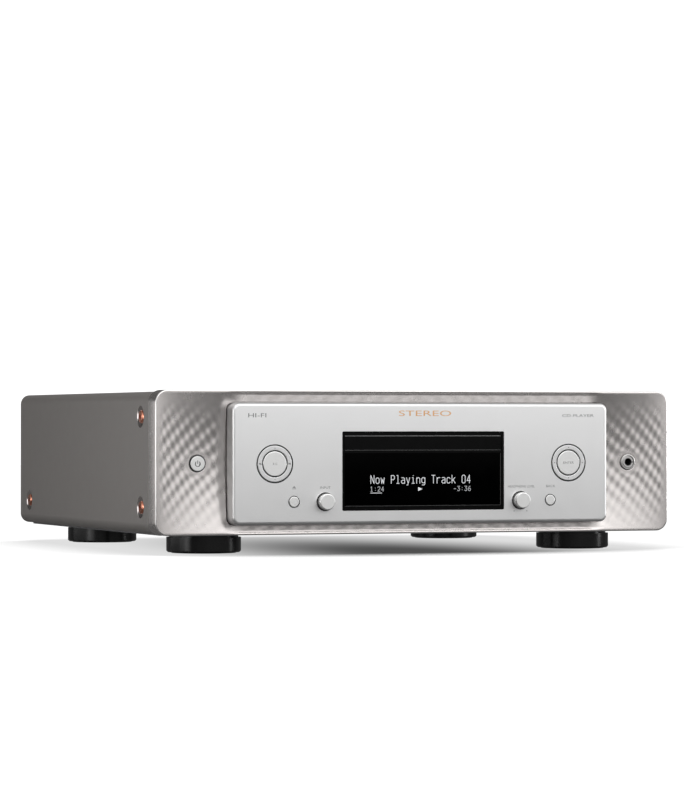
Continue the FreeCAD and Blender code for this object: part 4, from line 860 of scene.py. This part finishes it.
# points shared by several characters; a small letter is 0.7 high, a capital or a digit 1
HEAD = [(1, 0.57), (0.7, 0.7), (0.3, 0.7), (0, 0.57)]
HIGH_HEAD = [(1, 0.87), (0.7, 1), (0.3, 1), (0, 0.87)]
BASE = [(0, 0.13), (0.3, 0), (0.7, 0), (1, 0.13)]
SERIF = [(0.15, 0), (0.85, 0)]
STROKES = {
    "N": [[(0, 0), (0, 1), (1, 0), (1, 1)]],
    "P": [[(0, 0), (0, 1), (0.7, 1), (1, 0.87), (1, 0.6), (0.7, 0.46), (0, 0.46)]],
    "T": [[(0, 1), (1, 1)], [(0.5, 1), (0.5, 0)]],
    "a": [[(0.1, 0.7), (0.7, 0.7), (1, 0.57), (1, 0)],
          [(1, 0.4), (0.3, 0.4), (0, 0.28), (0, 0.13), (0.25, 0), (0.75, 0), (1, 0.13)]],
    "c": [HEAD + BASE],
    "g": [[(1, 0.7), (1, -0.1), (0.7, -0.22), (0.15, -0.22)],
          HEAD + [(0, 0.18), (0.3, 0.05), (0.7, 0.05), (1, 0.18)]],
    "i": [[(0.2, 0.7), (0.5, 0.7), (0.5, 0)], SERIF, [(0.5, 0.95), (0.5, 0.96)]],
    "k": [[(0, 0), (0, 1)], [(0.9, 0.7), (0, 0.27)], [(0.35, 0.42), (1, 0)]],
    "l": [[(0.2, 1), (0.5, 1), (0.5, 0)], SERIF],
    "n": [[(0, 0), (0, 0.7)], [(0, 0.52), (0.35, 0.7), (0.7, 0.7), (1, 0.57), (1, 0)]],
    "o": [BASE[1:] + HEAD + BASE[:2]],
    "r": [[(0.05, 0), (0.05, 0.7)], [(0.05, 0.46), (0.4, 0.7), (0.95, 0.7)]],
    "w": [[(0, 0.7), (0.22, 0), (0.5, 0.5), (0.78, 0), (1, 0.7)]],
    "y": [[(0, 0.7), (0.5, 0.03)], [(1, 0.7), (0.4, -0.2), (0.1, -0.22)]],
    "0": [BASE[1:] + HIGH_HEAD + BASE[:2]],
    "1": [[(0.15, 0.8), (0.5, 1), (0.5, 0)], SERIF],
    "2": [[(0, 0.85), (0.3, 1), (0.7, 1), (1, 0.87), (1, 0.65), (0, 0), (1, 0)]],
    "3": [[(0, 1), (1, 1), (0.45, 0.6), (0.7, 0.6), (1, 0.45)] + BASE[::-1]],
    "4": [[(0.75, 0), (0.75, 1), (0, 0.3), (1, 0.3)]],
    "6": [[(0.85, 1), (0.4, 0.9), (0, 0.5)] + BASE + [(1, 0.42), (0.7, 0.55), (0, 0.5)]],
    ":": [[(0.5, 0.2), (0.5, 0.21)], [(0.5, 0.7), (0.5, 0.71)]],
    "-": [[(0.1, 0.45), (0.9, 0.45)]],
    " ": [],
}


def segment(start, end, thickness):
    """A straight stroke with square ends."""
    length = math.hypot(end[0] - start[0], end[1] - start[1])
    ux, uz = (end[0] - start[0]) / length, (end[1] - start[1]) / length
    h = thickness / 2
    corners = ((start, -1, -1), (end, 1, -1), (end, 1, 1), (start, -1, 1))
    return [(px + h * (a * ux - b * uz), pz + h * (a * uz + b * ux)) for (px, pz), a, b in corners]


def characters(words, left, baseline, size, pitch, thickness):
    """Outlines of evenly spaced narrow characters; size is that of their stroke centres."""
    outlines = []
    for place, letter in enumerate(words):
        for stroke in STROKES[letter]:
            points = [(left + place * pitch + u * size[0], baseline + v * size[1]) for u, v in stroke]
            outlines += [segment(a, b, thickness) for a, b in zip(points, points[1:])]
    return outlines


def light_display():
    y = node_box("display_lens")[0][1]
    title = characters("Now Playing Track 04", -45.0, 55.8, (2.75, 6.3), 4.36, 0.50)
    icon_piece("display_title", title, y, CHARACTERS)
    times = characters("1:24", -45.2, 49.6, (1.8, 3.6), 3.1, 0.44)
    times += characters("-3:36", 26.4, 49.6, (1.8, 3.6), 3.15, 0.44)
    icon_piece("display_times", times, y, CHARACTERS_DIM)
    icons = [arrow(-2.6, 51.2, 3.7, 3.2, 1), bar(-40.4, 48.2, 9.8, 0.45)]
    icon_piece("display_icons", icons, y, CHARACTERS)


def dimple_cups():
    """Polished cups lining the dimples round the side screws."""
    low, high = node_box("side_screws")
    head_r = 5.0
    face = node_box("top_cover")[1][0]
    front_y = low[1] + head_r
    top_z, low_z = high[2] - head_r, low[2] + head_r
    centres = ((front_y, top_z), (front_y, low_z + 0.6), (high[1] - head_r, low_z))
    section = ((8.85, 0.03), (8.5, -0.05), (7.2, -1.0), (6.1, -1.75), (5.2, -1.84))
    count = len(section)
    segments = 48
    turns = [math.tau * k / segments for k in range(segments)]
    rows = [(count * k, count * ((k + 1) % segments)) for k in range(segments)]
    for side, hand in ((-1, "left"), (1, "right")):
        faces = [(a + i, b + i, b + i + 1, a + i + 1)[::side] for a, b in rows for i in range(count - 1)]
        for number, (y, z) in enumerate(centres, 1):
            vertices = [
                (side * (face + out), y + r * math.cos(turn), z + r * math.sin(turn))
                for turn in turns for r, out in section
            ]
            name = f"dimple_cup_{hand}_{number}"
            add_piece(name, vertices, faces, POLISHED_CUP, "casing", 30)


def paint_window_highlights():
    """Grey films painted as highlights on the thin bevels round the tray door and the display."""
    low, high = node_box("tray_door")
    x, y = high[0], low[1]
    top = bar(0.0, high[2] - 0.35, 2 * x - 1.0, 0.5)
    bottom = bar(0.0, low[2] + 0.3, 2 * x - 1.0, 0.4)
    icon_piece("door_painted_highlight_top", [top], y, HIGHLIGHT_INK_BRIGHT, "tray")
    icon_piece("door_painted_highlight_bottom", [bottom], y, HIGHLIGHT_INK_DIM, "tray")
    low, high = node_box("display_lens")
    middle, height = (low[2] + high[2]) / 2, high[2] - low[2]
    highlight_lines = [bar(0.0, low[2] + 0.4, 2 * x - 1.0, 0.3), bar(x - 0.6, middle, 0.3, height - 1.0)]
    icon_piece("display_painted_highlight", highlight_lines, low[1], HIGHLIGHT_INK_DIM)


def sleeve(name, at, radii, y, body):
    """A thin black tube, open at both ends, in the gap beside a control: painted shade in the gap."""
    section = ((radii[0], y[0]), (radii[1], y[0]), (radii[1], y[1]), (radii[0], y[1]))
    turned_piece(name, at, section, MATERIALS["black_plastic"], body, 72, 40)


GAP_DEPTH = 0.08           # of the sleeves below the surface beside them
GAP_LENGTH = 2.6
FILM = 0.02                # left between a sleeve and the wall that it lines
RING_BORE = 10.7
POWER_CAP_R = 6.0
SMALL_CAP_R = 4.2
KNOB_HOLE_R = 7.5
JACK_BORE_R = 3.2


def paint_gap_shade():
    """Black sleeves in the gaps round the rings, the knobs and the small buttons: painted shade in the gaps,
    and round the rings a painted shadow line on the face of the panel.
    """
    front_y = (FRONT + GAP_DEPTH, FRONT + GAP_LENGTH)
    for side in ("transport", "nav"):
        ring = side + "_ring"
        low, high = node_box(ring)
        at = node_centre(ring)
        r = (high[0] - low[0]) / 2
        sleeve("gap_shade_outer_" + side, at, (r + 0.45, r + 1.05), (FRONT - INK, FRONT + GAP_LENGTH), "casing")
        sleeve("gap_shade_rim_" + side, at, (r + FILM, r + 0.12), front_y, ring)
        sleeve("gap_shade_inner_" + side, at, (RING_BORE - 0.5, RING_BORE - FILM), front_y, ring)
    buttons = (
        ("eject_button", SMALL_CAP_R, 0.22), ("back_button", SMALL_CAP_R, 0.22),
        ("power_button", POWER_CAP_R, 0.08),
    )
    for name, r, rim in buttons:
        y = node_box(name)[0][1] + GAP_DEPTH
        at = node_centre(name)
        sleeve("gap_shade_rim_" + name, at, (r + FILM, r + rim), (y, y - GAP_DEPTH + GAP_LENGTH), name)
        sleeve("gap_shade_outer_" + name, at, (r + 0.25, r + 0.70), (y + 0.5, y - GAP_DEPTH + 2.8), "casing")
    jack_y = node_box("headphone_jack")[0][1]
    jack_radii = (JACK_BORE_R - 0.35, JACK_BORE_R - FILM)
    # A black lining in the socket's bore: painted shade.
    sleeve("jack_bore_shade", JACK_AT, jack_radii, (jack_y + 0.25, jack_y + 14.0), "casing")
    # Black linings in the holes round the knobs: painted shade.
    for name in ("input_knob", "level_knob"):
        sleeve("gap_" + name, node_centre(name), (KNOB_HOLE_R - 0.6, KNOB_HOLE_R - FILM), front_y, "casing")


print_front()
print_controls()
light_display()
paint_window_highlights()
paint_gap_shade()
dimple_cups()


# ---- rear panel ----
REAR = node_box("rear_panel")[1][1]


def collar(name, x, z, material):
    """The coloured moulded ring round a phono socket."""
    profile = ((4.95, 0.02), (4.95, 2.0), (5.2, 2.4), (6.2, 2.4), (6.6, 2.0), (6.6, 0.02))
    section = [(r, REAR + y) for r, y in profile]
    turned_piece("collar_" + name, (x, REAR, z), section, material, "casing", 48, 35)


def dress_rear():
    sockets = (
        ("analog_left_1", 112.0, 72.0, COLLAR_WHITE), ("analog_right_1", 112.0, 46.0, COLLAR_RED),
        ("analog_left_2", 140.0, 72.0, COLLAR_WHITE), ("analog_right_2", 140.0, 46.0, COLLAR_RED),
        ("coaxial_upper", 46.0, 72.0, COLLAR_ORANGE), ("coaxial_lower", 46.0, 46.0, COLLAR_ORANGE),
        ("remote_upper", -78.0, 68.0, MATERIALS["black_plastic"]),
        ("remote_lower", -78.0, 46.0, MATERIALS["black_plastic"]),
    )
    for name, x, z, material in sockets:
        collar(name, x, z, material)
    labels = (
        ("analog", "ANALOG OUT", 126.0, 86.0, 24.0), ("left", "L", 126.0, 72.0, 1.6),
        ("right", "R", 126.0, 46.0, 1.7), ("coaxial", "COAXIAL", 46.0, 82.0, 14.0),
        ("optical", "OPTICAL", 20.0, 82.0, 13.5), ("digital", "DIGITAL IN / OUT", 33.0, 88.0, 30.0),
        ("network", "NETWORK", -12.0, 61.0, 15.0), ("usb", "USB", -44.0, 55.5, 6.5),
        ("remote", "REMOTE CONTROL", -78.0, 79.5, 26.0), ("mains", "AC IN", -172.0, 69.0, 9.5),
        ("aerial_1", "AERIAL", -60.0, 98.0, 11.0), ("aerial_2", "AERIAL", 60.0, 98.0, 11.0),
    )
    for name, words, x, z, width in labels:
        size = (width, 2.2)
        text_piece("rear_" + name, words, (x, z), size, REAR, INK_WHITE, rear=True)


dress_rear()


# ---- camera, light and floor ----
CAMERA_PLACE = (-1.0448, -2.8173, 0.10225)
CAMERA_TURN = (90.41, 0.0, -20.614)          # degrees
CAMERA_LENS = 158.09
CAMERA_SENSOR = 36.0
SKY = 1.38
SKY_TO_THE_EYE = 1.2
FRONT_LIGHT = ((0.0, 0.14), (0.44, 0.34), (0.50, 0.585), (0.575, 0.82), (0.65, 1.0), (1.0, 1.0))
REAR_LIGHT = ((0.0, 0.10), (0.46, 0.15), (0.52, 0.16), (0.60, 0.03), (0.74, 0.05), (1.0, 0.4))
LIGHT_FROM = (0.45, -0.89, 0.0)
LIGHT_FACING = (0.2, 0.85)         # how far a direction faces the light where it begins and is full
FLOOR_REACH = 6.0
FLOOR_TO_THE_EYE = 1.1
FLOOR_SEEN_BY_OBJECT = 0.10
SHADOW_REACH = 0.17
SHADOW_SAMPLES = 16
SHADOW_OPEN = (0.46, 0.85)         # open shares at which the shadow is full and gone
SHADOW_CORE = (0.0, -0.2, 0.0)     # the darkest place, under the front edge
SHADOW_SHAPE = (5.5, 2.0, 0.0)     # one over the distances at which the shadow grows lighter
SHADOW_SPAN = (0.15, 1.2)
SHADOW_LEVELS = (0.08, 0.74)
LIGHTS = (                         # name, place, aim, size and power
    ("softbox_front", (0.0, -0.62, 0.62), (0.0, -0.2, 0.08), (2.0, 0.9), 5.0),
    ("softbox_left", (-0.95, -0.7, 0.45), (-0.2, -0.15, 0.06), (1.2, 1.0), 0.4),
    ("strip_left", (-1.6, -0.66, 0.2), (-0.2, -0.15, 0.06), (0.35, 0.35), 2.2),
    ("strip_right", (1.4, -0.55, 0.2), (0.2, -0.1, 0.04), (0.25, 0.35), 4.0),
    ("fill_left", (-0.6, -0.2, 0.12), (-0.22, -0.12, 0.07), (0.2, 0.3), 0.2),
    ("bar_left", (-0.7, 0.05, 0.08), (-0.22, 0.05, 0.08), (1.0, 0.2), 0.75),
)


def place_object(name, data, place, turn):
    holder = bpy.data.objects.new(name, data)
    holder.location = place
    holder.rotation_euler = turn
    bpy.context.scene.collection.objects.link(holder)
    return holder


def set_camera():
    camera = bpy.data.cameras.new("camera")
    camera.lens = CAMERA_LENS
    camera.sensor_width = CAMERA_SENSOR
    turn = [math.radians(angle) for angle in CAMERA_TURN]
    bpy.context.scene.camera = place_object("camera", camera, CAMERA_PLACE, turn)


def area_light(name, place, aim, size, power):
    light = bpy.data.lights.new(name, "AREA")
    light.shape = "RECTANGLE"
    light.size, light.size_y = size
    light.energy = power
    turn = (Vector(aim) - Vector(place)).to_track_quat("-Z", "Y").to_euler()
    place_object(name, light, place, turn).visible_camera = False


def ramp(tree, factor, stops):
    """A ramp of grey levels at their positions."""
    node = add_node(tree, "ValToRGB", {"Fac": factor})
    elements = node.color_ramp.elements
    while len(elements) < len(stops):
        elements.new(0.5)
    for element, (position, level) in zip(elements, stops):
        element.position = position
        element.color = (level, level, level, 1.0)
    return node.outputs["Color"]


def by_ray(tree, seen, others):
    """The shader seen where the camera looks, the other one for all other rays."""
    camera_ray = add_node(tree, "LightPath").outputs["Is Camera Ray"]
    return add_node(tree, "MixShader", {"Fac": camera_ray, 1: others, 2: seen}).outputs["Shader"]


def set_world():
    """A studio white to the eye; reflections see a bright sky in front, a dark room behind."""
    world = bpy.data.worlds.new("studio")
    bpy.context.scene.world = world
    world.use_nodes = True
    tree = world.node_tree
    tree.nodes.clear()
    direction = add_node(tree, "TexCoord").outputs["Generated"]
    up = add_node(tree, "SeparateXYZ", {"Vector": direction}).outputs["Z"]
    height = map_range(tree, up, (-1.0, 1.0))
    facing = add_node(tree, "VectorMath", {0: direction, 1: LIGHT_FROM}, operation="DOT_PRODUCT")
    sides = {
        "Factor": map_range(tree, facing.outputs["Value"], LIGHT_FACING),
        "A": ramp(tree, height, REAR_LIGHT), "B": ramp(tree, height, FRONT_LIGHT),
    }
    mix = add_node(tree, "Mix", sides, data_type="RGBA")
    studio = add_node(tree, "Background", {"Strength": SKY, "Color": mix.outputs["Result"]})
    white = add_node(tree, "Background", {"Strength": SKY_TO_THE_EYE, "Color": (1.0, 1.0, 1.0, 1.0)})
    both = by_ray(tree, white.outputs["Background"], studio.outputs["Background"])
    add_node(tree, "OutputWorld", {"Surface": both})


def set_floor():
    """A white floor with a soft contact shadow; other surfaces see it as a dim grey."""
    low, high, z = -FLOOR_REACH, FLOOR_REACH, cad_box[0][2]
    mesh = bpy.data.meshes.new("floor")
    mesh.from_pydata([(low, low, z), (high, low, z), (high, high, z), (low, high, z)], [], [(0, 1, 2, 3)])
    material = bpy.data.materials.new("pale floor")
    material.use_nodes = True
    tree = material.node_tree
    tree.nodes.remove(tree.nodes["Principled BSDF"])
    around = add_node(tree, "AmbientOcclusion", {"Distance": SHADOW_REACH}, samples=SHADOW_SAMPLES)
    open_share = map_range(tree, around.outputs["AO"], SHADOW_OPEN, ease="SMOOTHSTEP")
    place = add_node(tree, "TexCoord").outputs["Object"]
    centred = add_node(tree, "VectorMath", {0: place, 1: SHADOW_CORE}, operation="SUBTRACT")
    shape = {0: centred.outputs["Vector"], 1: SHADOW_SHAPE}
    shaped = add_node(tree, "VectorMath", shape, operation="MULTIPLY")
    away = add_node(tree, "VectorMath", {0: shaped.outputs["Vector"]}, operation="LENGTH")
    depth = map_range(tree, away.outputs["Value"], SHADOW_SPAN, SHADOW_LEVELS, "SMOOTHSTEP")
    blend = map_range(tree, open_share, (0.0, 1.0), (depth, FLOOR_TO_THE_EYE))
    paper = add_node(tree, "Emission", {"Strength": blend})
    dim = add_node(tree, "Emission", {"Strength": FLOOR_SEEN_BY_OBJECT})
    both = by_ray(tree, paper.outputs["Emission"], dim.outputs["Emission"])
    tree.links.new(both, tree.nodes["Material Output"].inputs["Surface"])
    mesh.materials.append(material)
    floor = bpy.data.objects.new("floor", mesh)
    bpy.context.scene.collection.objects.link(floor)


set_camera()
set_world()
set_floor()
for light in LIGHTS:
    area_light(*light)
bpy.context.scene.view_settings.view_transform = "Standard"
